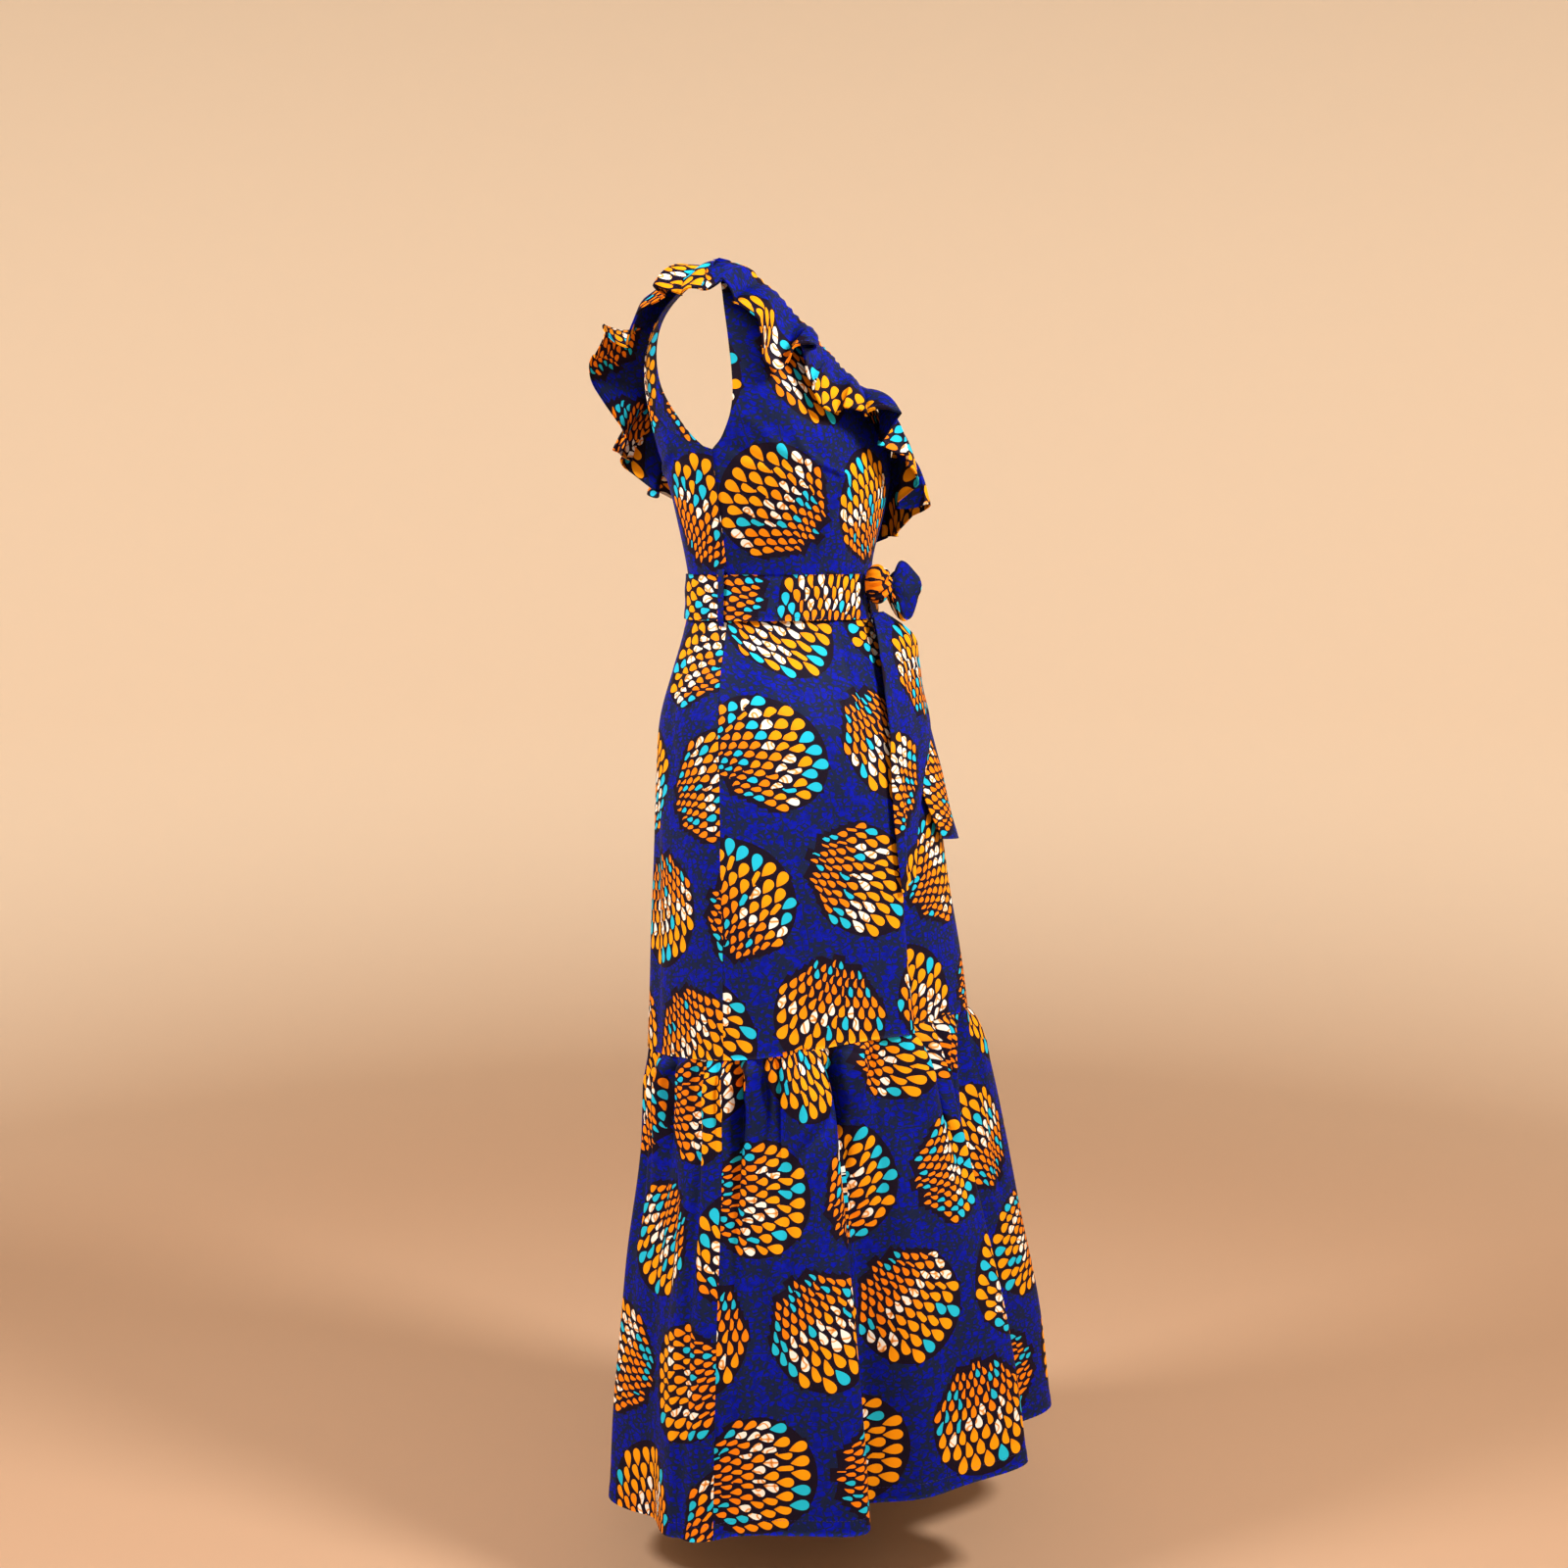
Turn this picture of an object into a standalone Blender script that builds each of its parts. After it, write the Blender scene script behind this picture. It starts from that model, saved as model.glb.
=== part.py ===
"""A one-shoulder maxi dress in wax-print cotton, worn by nobody and rigid.

Metres, +Z up. The wearer faces -Y, so the wearer's left is +X. The origin is where the right shoulder
carries the dress. Every piece of cloth is one wall, grown outwards from a grid of points that rings and
fold tables give, and pieces that are sewn together stand a hair apart at the seam.

Angles go round the body from the front centre: 0 is the front, +90 the wearer's left side seam, -90 the
right one and 180 the back centre.
"""

from dataclasses import dataclass

import bmesh
import bpy
import numpy as np

# ---------------------------------------------------------------- driving sizes

WALL = 0.002  # thickness of a piece of cloth
GAP = 0.0003  # between pieces that are sewn together
SHOULDER_X = 0.145  # the shoulder rest lies this far to the right of the body's axis
SEAM_BACK = 0.004  # the side seams of the bodice and its shoulder seam lie this far behind the axis

WAIST_BELOW = 0.3715  # waist seam, under the sash
SASH_TOP = 0.345  # upper edge of the sash
SASH_DEEP = 0.053  # its folded width
TIER_BELOW = 0.893  # seam between skirt and tier
HEM_BELOW = 1.425  # hem

UNDERARM_ROW = 4.0  # row of the bodice table where the right side seam ends
UNDERARM_ROUND = 1.6  # rows over which the foot of the armhole rounds out
SLOPE_ROW = 7.0  # row from which the shoulder's slope grows
LEFT_TOP_ROW = 3.0  # row where the left side seam ends and the neckline starts
SHOULDER_SLOPE = 0.20  # drop of the shoulder seam for each metre towards the arm
NECK_X = -0.118  # inner end of the shoulder seam
COTTON_BLUE = (0.020, 0.012, 0.400, 1.0)


@dataclass(frozen=True)
class BodiceRing:
    """One level of the bodice, from the waist seam up to the shoulder seam."""

    below: float  # below the shoulder
    front: float  # depth forward of the ring's centre
    back: float  # depth behind it
    side: float  # half width
    centre: float  # how far back the centre lies
    squareness: float  # 2 is an ellipse, more is squarer
    neck_front: float  # x of the neckline on the front
    neck_back: float  # x of the neckline on the back
    arm_front: float  # angle of the armhole's front edge, short of the side
    arm_back: float  # angle of the armhole's back edge, short of the side


BODICE_RINGS = (
    BodiceRing(WAIST_BELOW, 0.100, 0.098, 0.134, 0.000, 2.0, 0.000, 0.000, 0, 0),
    BodiceRing(0.325, 0.104, 0.101, 0.140, 0.002, 2.1, 0.000, 0.000, 0, 0),
    BodiceRing(0.280, 0.114, 0.107, 0.150, 0.003, 2.2, 0.000, 0.000, 0, 0),
    BodiceRing(0.240, 0.121, 0.113, 0.159, SEAM_BACK, 2.3, 0.159, 0.159, 8, 28),
    BodiceRing(0.200, 0.121, 0.119, 0.166, 0.006, 2.5, 0.118, 0.062, 8, 32),
    BodiceRing(0.160, 0.114, 0.123, 0.170, 0.008, 2.8, 0.066, -0.010, 9, 38),
    BodiceRing(0.120, 0.102, 0.124, 0.172, 0.010, 3.0, -0.002, -0.056, 10, 43),
    BodiceRing(0.080, 0.087, 0.119, 0.172, 0.010, 3.0, -0.064, -0.082, 10, 46),
    BodiceRing(0.045, 0.067, 0.102, 0.172, 0.009, 2.8, -0.092, -0.099, 11, 44),
    BodiceRing(0.018, 0.042, 0.071, 0.172, 0.007, 2.5, -0.108, -0.110, 14, 36),
    BodiceRing(0.004, 0.019, 0.034, 0.172, 0.005, 2.2, -0.116, -0.115, 18, 26),
    BodiceRing(0.000, 0.000, 0.000, 0.172, SEAM_BACK, 2.0, NECK_X, NECK_X, 20, 20),
)


@dataclass(frozen=True)
class SkirtRing:
    """One level of the skirt or of the tier."""

    below: float  # below the shoulder, halfway between front and back
    front: float  # depth forward of the ring's centre
    back: float  # depth behind it
    side: float  # half width
    centre: float  # how far back the centre lies
    rise: float  # how much higher the front lies, and lower the back


SKIRT_RINGS = (
    SkirtRing(WAIST_BELOW, 0.100, 0.098, 0.134, 0.000, 0.000),
    SkirtRing(0.420, 0.112, 0.108, 0.150, -0.002, 0.000),
    SkirtRing(0.460, 0.127, 0.122, 0.168, -0.006, 0.001),
    SkirtRing(0.510, 0.143, 0.141, 0.187, -0.012, 0.003),
    SkirtRing(0.580, 0.152, 0.151, 0.199, -0.020, 0.006),
    SkirtRing(0.660, 0.159, 0.158, 0.208, -0.026, 0.010),
    SkirtRing(0.770, 0.167, 0.166, 0.217, -0.033, 0.016),
    SkirtRing(TIER_BELOW, 0.175, 0.174, 0.228, -0.040, 0.023),
)

TIER_RINGS = (
    SkirtRing(TIER_BELOW, 0.175, 0.174, 0.228, -0.040, 0.023),
    SkirtRing(0.950, 0.186, 0.181, 0.236, -0.044, 0.025),
    SkirtRing(1.020, 0.199, 0.191, 0.249, -0.048, 0.027),
    SkirtRing(1.150, 0.218, 0.208, 0.272, -0.054, 0.031),
    SkirtRing(1.290, 0.233, 0.222, 0.291, -0.060, 0.034),
    SkirtRing(HEM_BELOW, 0.242, 0.230, 0.303, -0.064, 0.037),
)

SASH_RINGS = (
    SkirtRing(SASH_TOP, 0.1062, 0.1032, 0.1412, 0.001, 0.000),
    SkirtRing(SASH_TOP + SASH_DEEP, 0.1105, 0.1070, 0.1460, -0.001, 0.000),
)


@dataclass(frozen=True)
class Fold:
    """One soft ridge or trough that runs down the cloth."""

    top_angle: float  # where it starts
    end_angle: float  # where it ends
    width: float  # degrees to either side
    top: float  # how far it stands out at the top, less than 0 for a trough
    end: float  # and at the bottom
    lean: float = 0.0  # how far its crest leans to the wearer's left, as a share of its height


SKIRT_FOLDS = (
    Fold(-6, -27, 8, 0.000, 0.017, 0.8),
    Fold(6, -15, 7, 0.000, -0.016, 0.8),
    Fold(22, 12, 16, 0.000, 0.012),
    Fold(54, 48, 16, 0.000, -0.007),
    Fold(-48, -50, 14, 0.000, -0.005),
    Fold(-76, -78, 12, 0.000, 0.006),
    Fold(-112, -114, 15, 0.000, -0.006),
    Fold(-142, -146, 15, 0.000, 0.010),
    Fold(176, 178, 16, 0.000, -0.010),
    Fold(146, 144, 15, 0.000, 0.010),
    Fold(116, 112, 14, 0.000, -0.006),
    Fold(90, 88, 12, 0.000, 0.006),
)

TIER_FOLDS = (
    Fold(-100, -98, 12, 0.004, 0.014),
    Fold(-78, -80, 10, -0.004, -0.012),
    Fold(-59, -57, 9, 0.010, 0.030, 0.8),
    Fold(-45, -42, 8, -0.012, -0.040, 0.8),
    Fold(-22, -10, 12, 0.010, 0.034, 0.6),
    Fold(0, 9, 9, -0.008, -0.046, 0.6),
    Fold(26, 30, 12, 0.008, 0.030),
    Fold(50, 52, 10, -0.006, -0.028),
    Fold(74, 74, 12, 0.006, 0.022),
    Fold(98, 98, 10, -0.005, -0.022),
    Fold(122, 122, 12, 0.006, 0.024),
    Fold(146, 146, 10, -0.006, -0.026),
    Fold(170, 170, 12, 0.006, 0.024),
    Fold(-166, -166, 10, -0.005, -0.022),
    Fold(-142, -142, 12, 0.006, 0.020),
    Fold(-120, -120, 10, -0.004, -0.014),
)

GATHERS = 30  # gathers round the tier's upper edge
GATHER_DEEP = 0.0055  # how far they stand out and in
GATHER_FADE = 0.34  # share of the tier's height over which they fade


@dataclass(frozen=True)
class Flounce:
    """One lobe or hollow of the ruffle's free edge, seen from its seam."""

    along: float  # share of the neckline from the shoulder to the left side
    reach: float  # how far the free edge stands away from the body's axis
    drop: float  # how far it hangs below the seam
    sweep: float  # how far it swings round the body, to the wearer's left
    lift: float = 0.007  # how far the ruffle rises from its seam before it falls


FRONT_FLOUNCES = (
    Flounce(0.00, 0.080, 0.036, 0.000, 0.009),
    Flounce(0.07, 0.076, 0.020, -0.012),
    Flounce(0.14, 0.076, 0.040, -0.026),
    Flounce(0.20, 0.060, 0.062, -0.034),
    Flounce(0.26, 0.070, 0.014, -0.026),
    Flounce(0.32, 0.046, 0.032, -0.066),
    Flounce(0.39, 0.032, 0.052, -0.070),
    Flounce(0.47, 0.046, 0.028, -0.068),
    Flounce(0.53, 0.028, 0.058, -0.052),
    Flounce(0.60, 0.030, 0.060, -0.044),
    Flounce(0.67, 0.006, 0.084, -0.022),
    Flounce(0.74, 0.024, 0.066, -0.046),
    Flounce(0.81, -0.006, 0.084, -0.024),
    Flounce(0.87, 0.026, 0.078, -0.014),
    Flounce(0.93, -0.004, 0.090, -0.008),
    Flounce(1.00, 0.010, 0.088, -0.004),
)

BACK_FLOUNCES = (
    Flounce(0.00, 0.080, 0.036, 0.000, 0.009),
    Flounce(0.08, 0.072, 0.024, -0.020, 0.017),
    Flounce(0.15, 0.048, 0.014, -0.040, 0.018),
    Flounce(0.22, 0.062, 0.030, -0.056, 0.010),
    Flounce(0.29, 0.060, -0.002, -0.014),
    Flounce(0.36, 0.077, -0.002, -0.020),
    Flounce(0.43, 0.040, 0.060, -0.040),
    Flounce(0.50, 0.062, 0.050, -0.030),
    Flounce(0.57, 0.030, 0.076, -0.030),
    Flounce(0.64, 0.084, 0.044, -0.020),
    Flounce(0.71, 0.016, 0.084, -0.020),
    Flounce(0.78, 0.050, 0.066, -0.026),
    Flounce(0.85, 0.002, 0.086, -0.014),
    Flounce(0.92, 0.036, 0.076, -0.010),
    Flounce(1.00, 0.010, 0.088, -0.004),
)


@dataclass(frozen=True)
class LoopStep:
    """One step of the bow's loop, from the knot out to its tip and back, in plan and height."""

    x: float
    y: float
    top: float  # height of the upper edge
    foot: float  # height of the lower edge


LOOP_STEPS = (
    LoopStep(0.0240, -0.1360, -0.350, -0.376),
    LoopStep(0.0270, -0.1430, -0.331, -0.388),
    LoopStep(0.0330, -0.1490, -0.331, -0.399),
    LoopStep(0.0400, -0.1550, -0.339, -0.396),
    LoopStep(0.0455, -0.1600, -0.347, -0.376),
    LoopStep(0.0505, -0.1590, -0.349, -0.372),
    LoopStep(0.0510, -0.1520, -0.346, -0.392),
    LoopStep(0.0460, -0.1430, -0.340, -0.402),
    LoopStep(0.0390, -0.1340, -0.341, -0.394),
    LoopStep(0.0340, -0.1260, -0.350, -0.376),
)


@dataclass(frozen=True)
class TailRow:
    """One level of a sash tail, which hangs over the skirt."""

    below: float  # below the shoulder, at the edge towards the wearer's right
    right: float  # angle of that edge
    left: float  # angle of the other edge
    right_off: float  # how far that edge hangs off the skirt
    left_off: float  # and the other one
    skew: float  # how much lower the other edge lies


TAIL_RIGHT_ROWS = (
    TailRow(0.390, -1, 9, 0.0170, 0.0200, 0.000),
    TailRow(0.400, -1, 15, 0.0170, 0.0280, 0.000),
    TailRow(0.420, -2, 25, 0.0160, 0.0390, 0.000),
    TailRow(0.450, -9, 28, 0.0150, 0.0300, 0.002),
    TailRow(0.490, -15, 26, 0.0130, 0.0170, 0.002),
    TailRow(0.540, -19, 14, 0.0120, 0.0130, 0.000),
    TailRow(0.590, -22, 3, 0.0100, 0.0110, -0.004),
    TailRow(0.650, -24, -5, 0.0090, 0.0100, -0.008),
    TailRow(0.722, -25, -10, 0.0080, 0.0090, -0.012),
)

TAIL_LEFT_ROWS = (
    TailRow(0.393, 3, 13, 0.0110, 0.0120, 0.000),
    TailRow(0.404, 3, 20, 0.0100, 0.0150, 0.000),
    TailRow(0.425, 3, 29, 0.0090, 0.0200, 0.000),
    TailRow(0.455, 2, 33, 0.0070, 0.0160, 0.000),
    TailRow(0.495, 0, 34, 0.0055, 0.0090, 0.000),
    TailRow(0.545, -1, 33, 0.0055, 0.0080, 0.000),
    TailRow(0.590, 0, 31, 0.0060, 0.0110, 0.000),
    TailRow(0.640, 3, 30, 0.0090, 0.0130, 0.003),
    TailRow(0.672, 8, 29, 0.0110, 0.0190, 0.008),
)

TOP_ROW = len(BODICE_RINGS) - 1.0  # row of the shoulder seam

# ---------------------------------------------------------------- tables and rings


def column(rows, name):
    """One named column of a table, as numbers."""
    return np.array([getattr(row, name) for row in rows], float)


def smooth(at, xs, ys):
    """A smooth curve through the table's points, which stays level past its ends."""
    at = np.clip(np.asarray(at, float), xs[0], xs[-1])
    steps = np.diff(xs)
    grades = np.diff(ys) / steps
    slopes = np.empty_like(ys)
    slopes[1:-1] = (grades[:-1] * steps[1:] + grades[1:] * steps[:-1]) / (steps[:-1] + steps[1:])
    slopes[0], slopes[-1] = grades[0], grades[-1]
    i = np.clip(np.searchsorted(xs, at, side="right") - 1, 0, len(xs) - 2)
    h = steps[i]
    t = (at - xs[i]) / h
    return (
        ys[i] * (2 * t**3 - 3 * t**2 + 1)
        + ys[i + 1] * (3 * t**2 - 2 * t**3)
        + slopes[i] * h * (t**3 - 2 * t**2 + t)
        + slopes[i + 1] * h * (t**3 - t**2)
    )


def bodice_value(row, name):
    """A column of the bodice table at a row number, whole or not."""
    return smooth(row, np.arange(len(BODICE_RINGS), dtype=float), column(BODICE_RINGS, name))


def angle_apart(a, b):
    """How far two angles are apart, in degrees, the short way round."""
    return (a - b + 180.0) % 360.0 - 180.0


def to_frame(points):
    """Points given from the body's axis, moved to the frame of the whole part."""
    return points + np.array([SHOULDER_X, -SEAM_BACK, 0.0])


def bodice_point(row, angle):
    """The inside of the bodice at a table row and an angle, arrays or numbers, from the body's axis."""
    row, angle = np.broadcast_arrays(np.asarray(row, float), np.radians(angle))
    power = 2 / bodice_value(row, "squareness")
    sine, cosine = np.sin(angle), np.cos(angle)
    x = bodice_value(row, "side") * np.sign(sine) * np.abs(sine) ** power
    depth = np.where(cosine > 0, bodice_value(row, "front"), bodice_value(row, "back"))
    y = bodice_value(row, "centre") - depth * np.sign(cosine) * np.abs(cosine) ** power
    upper = np.clip((row - SLOPE_ROW) / (TOP_ROW - SLOPE_ROW), 0, 1) ** 2
    z = -bodice_value(row, "below") + upper * SHOULDER_SLOPE * np.minimum(x + SHOULDER_X, SHOULDER_X + NECK_X)
    return np.stack([x, y, z], axis=-1)


def off_bodice(points, clear):
    """Points moved away from the body's axis where they lie nearer than clear to the inside of the bodice."""
    rows = np.linspace(0, TOP_ROW, 600)
    row = np.interp(points[..., 2], -bodice_value(rows, "below"), rows)
    power = bodice_value(row, "squareness")
    centre = bodice_value(row, "centre")
    x, y = points[..., 0], points[..., 1] - centre
    depth = np.where(y < 0, bodice_value(row, "front"), bodice_value(row, "back")) + clear
    level = (np.abs(x / (bodice_value(row, "side") + clear)) ** power + np.abs(y / depth) ** power) ** (1 / power)
    grow = np.maximum(1 / np.maximum(level, 0.05), 1.0)
    return np.stack([x * grow, centre + y * grow, points[..., 2]], axis=-1)


def neckline_angle(row, is_front):
    """Angle of the neckline's edge at a row, on the front or the back."""
    x = bodice_value(row, "neck_front" if is_front else "neck_back")
    share = np.clip(np.abs(x) / bodice_value(row, "side"), 0, 1)
    turn = np.degrees(np.arcsin(share ** (bodice_value(row, "squareness") / 2)))
    angle = np.where(row <= LEFT_TOP_ROW, 90.0, np.sign(x) * turn)
    return angle if is_front else 180.0 - angle


def armhole_angle(row, is_front):
    """Angle of the right side seam or, above the underarm, of the armhole's edge."""
    short = bodice_value(row, "arm_front" if is_front else "arm_back")
    short = short * np.sin(np.pi / 2 * np.clip((row - UNDERARM_ROW) / UNDERARM_ROUND, 0, 1)) ** 0.7
    return -90.0 + short if is_front else 270.0 - short


def fold_shape(angle, share, folds):
    """How far the folds move the cloth out and sideways, at an angle and a share of the way down."""
    out, sideways = np.zeros_like(angle), np.zeros_like(angle)
    for fold in folds:
        middle = fold.top_angle + (fold.end_angle - fold.top_angle) * share * (2 - share)
        height = fold.top + (fold.end - fold.top) * share
        height = height * np.exp(-((angle_apart(angle, middle) / fold.width) ** 2) * 1.4)
        out += height
        sideways += fold.lean * height
    return np.stack([out, sideways])


def ring_point(rings, below, angle, height, sideways=0.0):
    """A point of a skirt ring, moved out by a height and round by a distance, from the body's axis."""
    xs = column(rings, "below")
    side = smooth(below, xs, column(rings, "side"))
    turn = np.radians(angle) + sideways / side
    sine, cosine = np.sin(turn), np.cos(turn)
    front, back = smooth(below, xs, column(rings, "front")), smooth(below, xs, column(rings, "back"))
    depth = np.where(cosine > 0, front, back)
    centre = smooth(below, xs, column(rings, "centre"))
    rise = smooth(below, xs, column(rings, "rise"))
    return np.stack(
        [
            (side + height) * sine,
            centre - (depth + height) * cosine,
            -below + rise * cosine,
        ],
        axis=-1,
    )


# ---------------------------------------------------------------- cloth walls


def normals_of(grid):
    """Unit normals of a grid of points, from its neighbours along both ways."""
    along = np.gradient(grid, axis=1)
    across = np.gradient(grid, axis=0)
    normal = np.cross(along, across)
    return normal / np.maximum(np.linalg.norm(normal, axis=-1, keepdims=True), 1e-12)


def wall(name, inside, outside, material):
    """A closed solid between two grids of points, joined round their four edges."""
    rows, cols = inside.shape[:2]
    vertices = np.concatenate([inside.reshape(-1, 3), outside.reshape(-1, 3)])

    def at(i, j, layer):
        return (layer * rows + i) * cols + j

    faces = []
    for i in range(rows - 1):
        for j in range(cols - 1):
            faces.append((at(i, j, 1), at(i + 1, j, 1), at(i + 1, j + 1, 1), at(i, j + 1, 1)))
            faces.append((at(i, j, 0), at(i, j + 1, 0), at(i + 1, j + 1, 0), at(i + 1, j, 0)))
        faces.append((at(i, 0, 0), at(i + 1, 0, 0), at(i + 1, 0, 1), at(i, 0, 1)))
        faces.append((at(i, cols - 1, 0), at(i, cols - 1, 1), at(i + 1, cols - 1, 1), at(i + 1, cols - 1, 0)))
    for j in range(cols - 1):
        faces.append((at(0, j, 0), at(0, j, 1), at(0, j + 1, 1), at(0, j + 1, 0)))
        faces.append((at(rows - 1, j, 0), at(rows - 1, j + 1, 0), at(rows - 1, j + 1, 1), at(rows - 1, j, 1)))
    return solid(name, vertices, faces, material)


def solid(name, vertices, faces, material):
    """One named piece, its faces outwards, moved from the body's axis to the frame of the part."""
    mesh = bpy.data.meshes.new(name)
    mesh.from_pydata(to_frame(vertices).tolist(), [], faces)
    mesh.materials.append(material)
    if volume_of(mesh) < 0:
        mesh.flip_normals()
    mesh.shade_smooth()
    piece = bpy.data.objects.new(name, mesh)
    bpy.context.scene.collection.objects.link(piece)
    return piece


def volume_of(mesh):
    """Signed volume of a closed mesh."""
    mesh.calc_loop_triangles()
    points = np.array([v.co for v in mesh.vertices])
    a, b, c = (points[[t.vertices[k] for t in mesh.loop_triangles]] for k in range(3))
    return float((a * np.cross(b, c)).sum() / 6)


def garment_panel(name, inside, is_front, centre, material):
    """A wall grown outwards from a panel's inside, kept to its own side of the side seams."""
    normal = normals_of(inside)
    outward = inside - inside.mean(axis=(0, 1))
    if (normal * outward).sum() < 0:
        normal = -normal
    outside = inside + WALL * normal
    outside[[0, -1], :, 2] = inside[[0, -1], :, 2]
    for grid in (inside, outside):
        limit = centre - GAP / 2 if is_front else centre + GAP / 2
        grid[..., 1] = np.minimum(grid[..., 1], limit) if is_front else np.maximum(grid[..., 1], limit)
    return wall(name, inside, outside, material)


def cotton_material():
    """The matt blue of the cotton's ground."""
    material = bpy.data.materials.new("wax_print_cotton")
    material.use_nodes = True
    shader = material.node_tree.nodes["Principled BSDF"]
    shader.inputs["Base Color"].default_value = COTTON_BLUE
    shader.inputs["Roughness"].default_value = 0.75
    return material


# ---------------------------------------------------------------- bodice

BODICE_ROWS = 17
BODICE_COLUMNS = 17


def make_bodice(name, is_front, material):
    """The front or the back of the one-shoulder bodice."""
    rows = np.linspace(0, len(BODICE_RINGS) - 1, BODICE_ROWS)[:, None]
    share = np.linspace(0, 1, BODICE_COLUMNS)[None, :]
    left, right = neckline_angle(rows, is_front), armhole_angle(rows, is_front)
    inside = bodice_point(rows, left + (right - left) * share)
    inside[0, :, 2] += GAP / 2
    return garment_panel(name, inside, is_front, bodice_value(rows, "centre"), material)


# ---------------------------------------------------------------- ruffle

RUFFLE_COLUMNS = 81
RUFFLE_ROWS = 6
SHIN_OUT = 0.65  # share of its reach that it has made by the middle
SHIN_DOWN = 0.16  # share of its drop


def neckline_frame(share, is_front):
    """Places along the neckline, with the cloth's outward normal at each.

    share runs from 0 at the shoulder seam to 1 at the top of the left side seam.
    """
    fine = np.linspace(TOP_ROW, LEFT_TOP_ROW + 0.02, 400)
    edge = bodice_point(fine, neckline_angle(fine, is_front))
    length = np.concatenate([[0], np.cumsum(np.linalg.norm(np.diff(edge, axis=0), axis=1))])

    def edge_at(distance):
        return np.stack([np.interp(distance, length, edge[:, k]) for k in range(3)], axis=-1)

    distance = share * length[-1]
    along = edge_at(distance + 0.02) - edge_at(distance - 0.02)
    along /= np.linalg.norm(along, axis=-1, keepdims=True)
    row = np.interp(distance, length, fine)
    angle = neckline_angle(row, is_front)
    place = bodice_point(row, angle)
    across = bodice_point(row, angle + (-4.0 if is_front else 4.0)) - place
    normal = np.cross(along, across) * (-1.0 if is_front else 1.0)
    return place, normal / np.linalg.norm(normal, axis=-1, keepdims=True)


def make_ruffle(name, flounces, is_front, material):
    """A single-layer ruffle, sewn along half of the neckline."""
    share = np.linspace(0, 1, RUFFLE_COLUMNS)
    place, normal = neckline_frame(share, is_front)
    root = place + normal * (1.5 * WALL + GAP)
    away = root * [1.0, 1.0, 0.0]
    away /= np.linalg.norm(away, axis=-1, keepdims=True)
    leftwards = np.stack([-away[:, 1], away[:, 0], away[:, 2]], axis=-1) * (1.0 if is_front else -1.0)
    xs = column(flounces, "along")
    reach, drop, sweep, lift = (
        smooth(share, xs, column(flounces, k))[:, None] for k in ("reach", "drop", "sweep", "lift")
    )
    swing, fall = away * reach + leftwards * sweep, np.array([0.0, 0.0, -1.0]) * drop
    edge = root + swing + fall
    knee = root + normal * lift
    shin = knee + SHIN_OUT * swing + SHIN_DOWN * fall
    v = np.linspace(0, 1, RUFFLE_ROWS)[:, None, None]
    middle = (1 - v) ** 3 * root + 3 * v * (1 - v) ** 2 * knee + 3 * v**2 * (1 - v) * shin + v**3 * edge
    middle = off_bodice(middle, 1.5 * WALL + GAP)
    thick = normals_of(middle) * WALL / 2
    inside, outside = middle - thick, middle + thick
    for layer in (inside, outside):
        if is_front:
            layer[..., 1] = np.minimum(layer[..., 1], SEAM_BACK - GAP / 2)
        else:
            layer[..., 1] = np.maximum(layer[..., 1], SEAM_BACK + GAP / 2)
        layer[:, 0, 1] = SEAM_BACK + (-GAP / 2 if is_front else GAP / 2)
    return wall(name, inside, outside, material)


# ---------------------------------------------------------------- skirt and tier

SKIRT_ROWS = 12
SKIRT_COLUMNS = 37
TIER_ROWS = 8
TIER_COLUMNS = 81


def panel_angles(is_front, columns):
    """Angles across a front or back panel, from the left side seam to the right one."""
    return np.linspace(90, -90, columns) if is_front else np.linspace(90, 270, columns)


def make_skirt(name, is_front, material):
    """The front or back of the flared skirt, from the waist seam to the tier."""
    below = np.linspace(WAIST_BELOW, TIER_BELOW, SKIRT_ROWS)[:, None]
    angle = panel_angles(is_front, SKIRT_COLUMNS)[None, :]
    share = (below - WAIST_BELOW) / (TIER_BELOW - WAIST_BELOW)
    below, angle, share = np.broadcast_arrays(below, angle, share)
    inside = ring_point(SKIRT_RINGS, below, angle, *fold_shape(angle, share, SKIRT_FOLDS))
    inside[0, :, 2] -= GAP / 2
    inside[-1, :, 2] += GAP / 2
    centre = smooth(below[:, :1], column(SKIRT_RINGS, "below"), column(SKIRT_RINGS, "centre"))
    return garment_panel(name, inside, is_front, centre, material)


def tier_shape(angle, share):
    """How far the gathered tier stands off its rings, and how far it leans sideways."""
    seam = fold_shape(angle, np.ones_like(share), SKIRT_FOLDS)
    wide = np.sin(np.radians(angle) * GATHERS + 0.9 * np.sin(np.radians(angle) * 3))
    uneven = 0.75 + 0.35 * np.sin(np.radians(angle) * 7 + 1.0)
    grown = np.clip(share / 0.06, 0, 1)
    gathers = GATHER_DEEP * wide * uneven * grown * np.exp(-share / GATHER_FADE)
    shape = seam * np.exp(-share * 4) + fold_shape(angle, share, TIER_FOLDS) * grown
    return shape[0] + gathers, shape[1]


def make_tier(name, is_front, material):
    """The front or back of the gathered tier, from its seam to the hem."""
    share = np.linspace(0, 1, TIER_ROWS)[:, None] ** 1.25
    angle = panel_angles(is_front, TIER_COLUMNS)[None, :]
    share, angle = np.broadcast_arrays(share, angle)
    below = TIER_BELOW + (HEM_BELOW - TIER_BELOW) * share
    inside = ring_point(TIER_RINGS, below, angle, *tier_shape(angle, share))
    inside[0, :, 2] -= GAP / 2
    centre = smooth(below[:, :1], column(TIER_RINGS, "below"), column(TIER_RINGS, "centre"))
    return garment_panel(name, inside, is_front, centre, material)


# ---------------------------------------------------------------- sash

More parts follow.
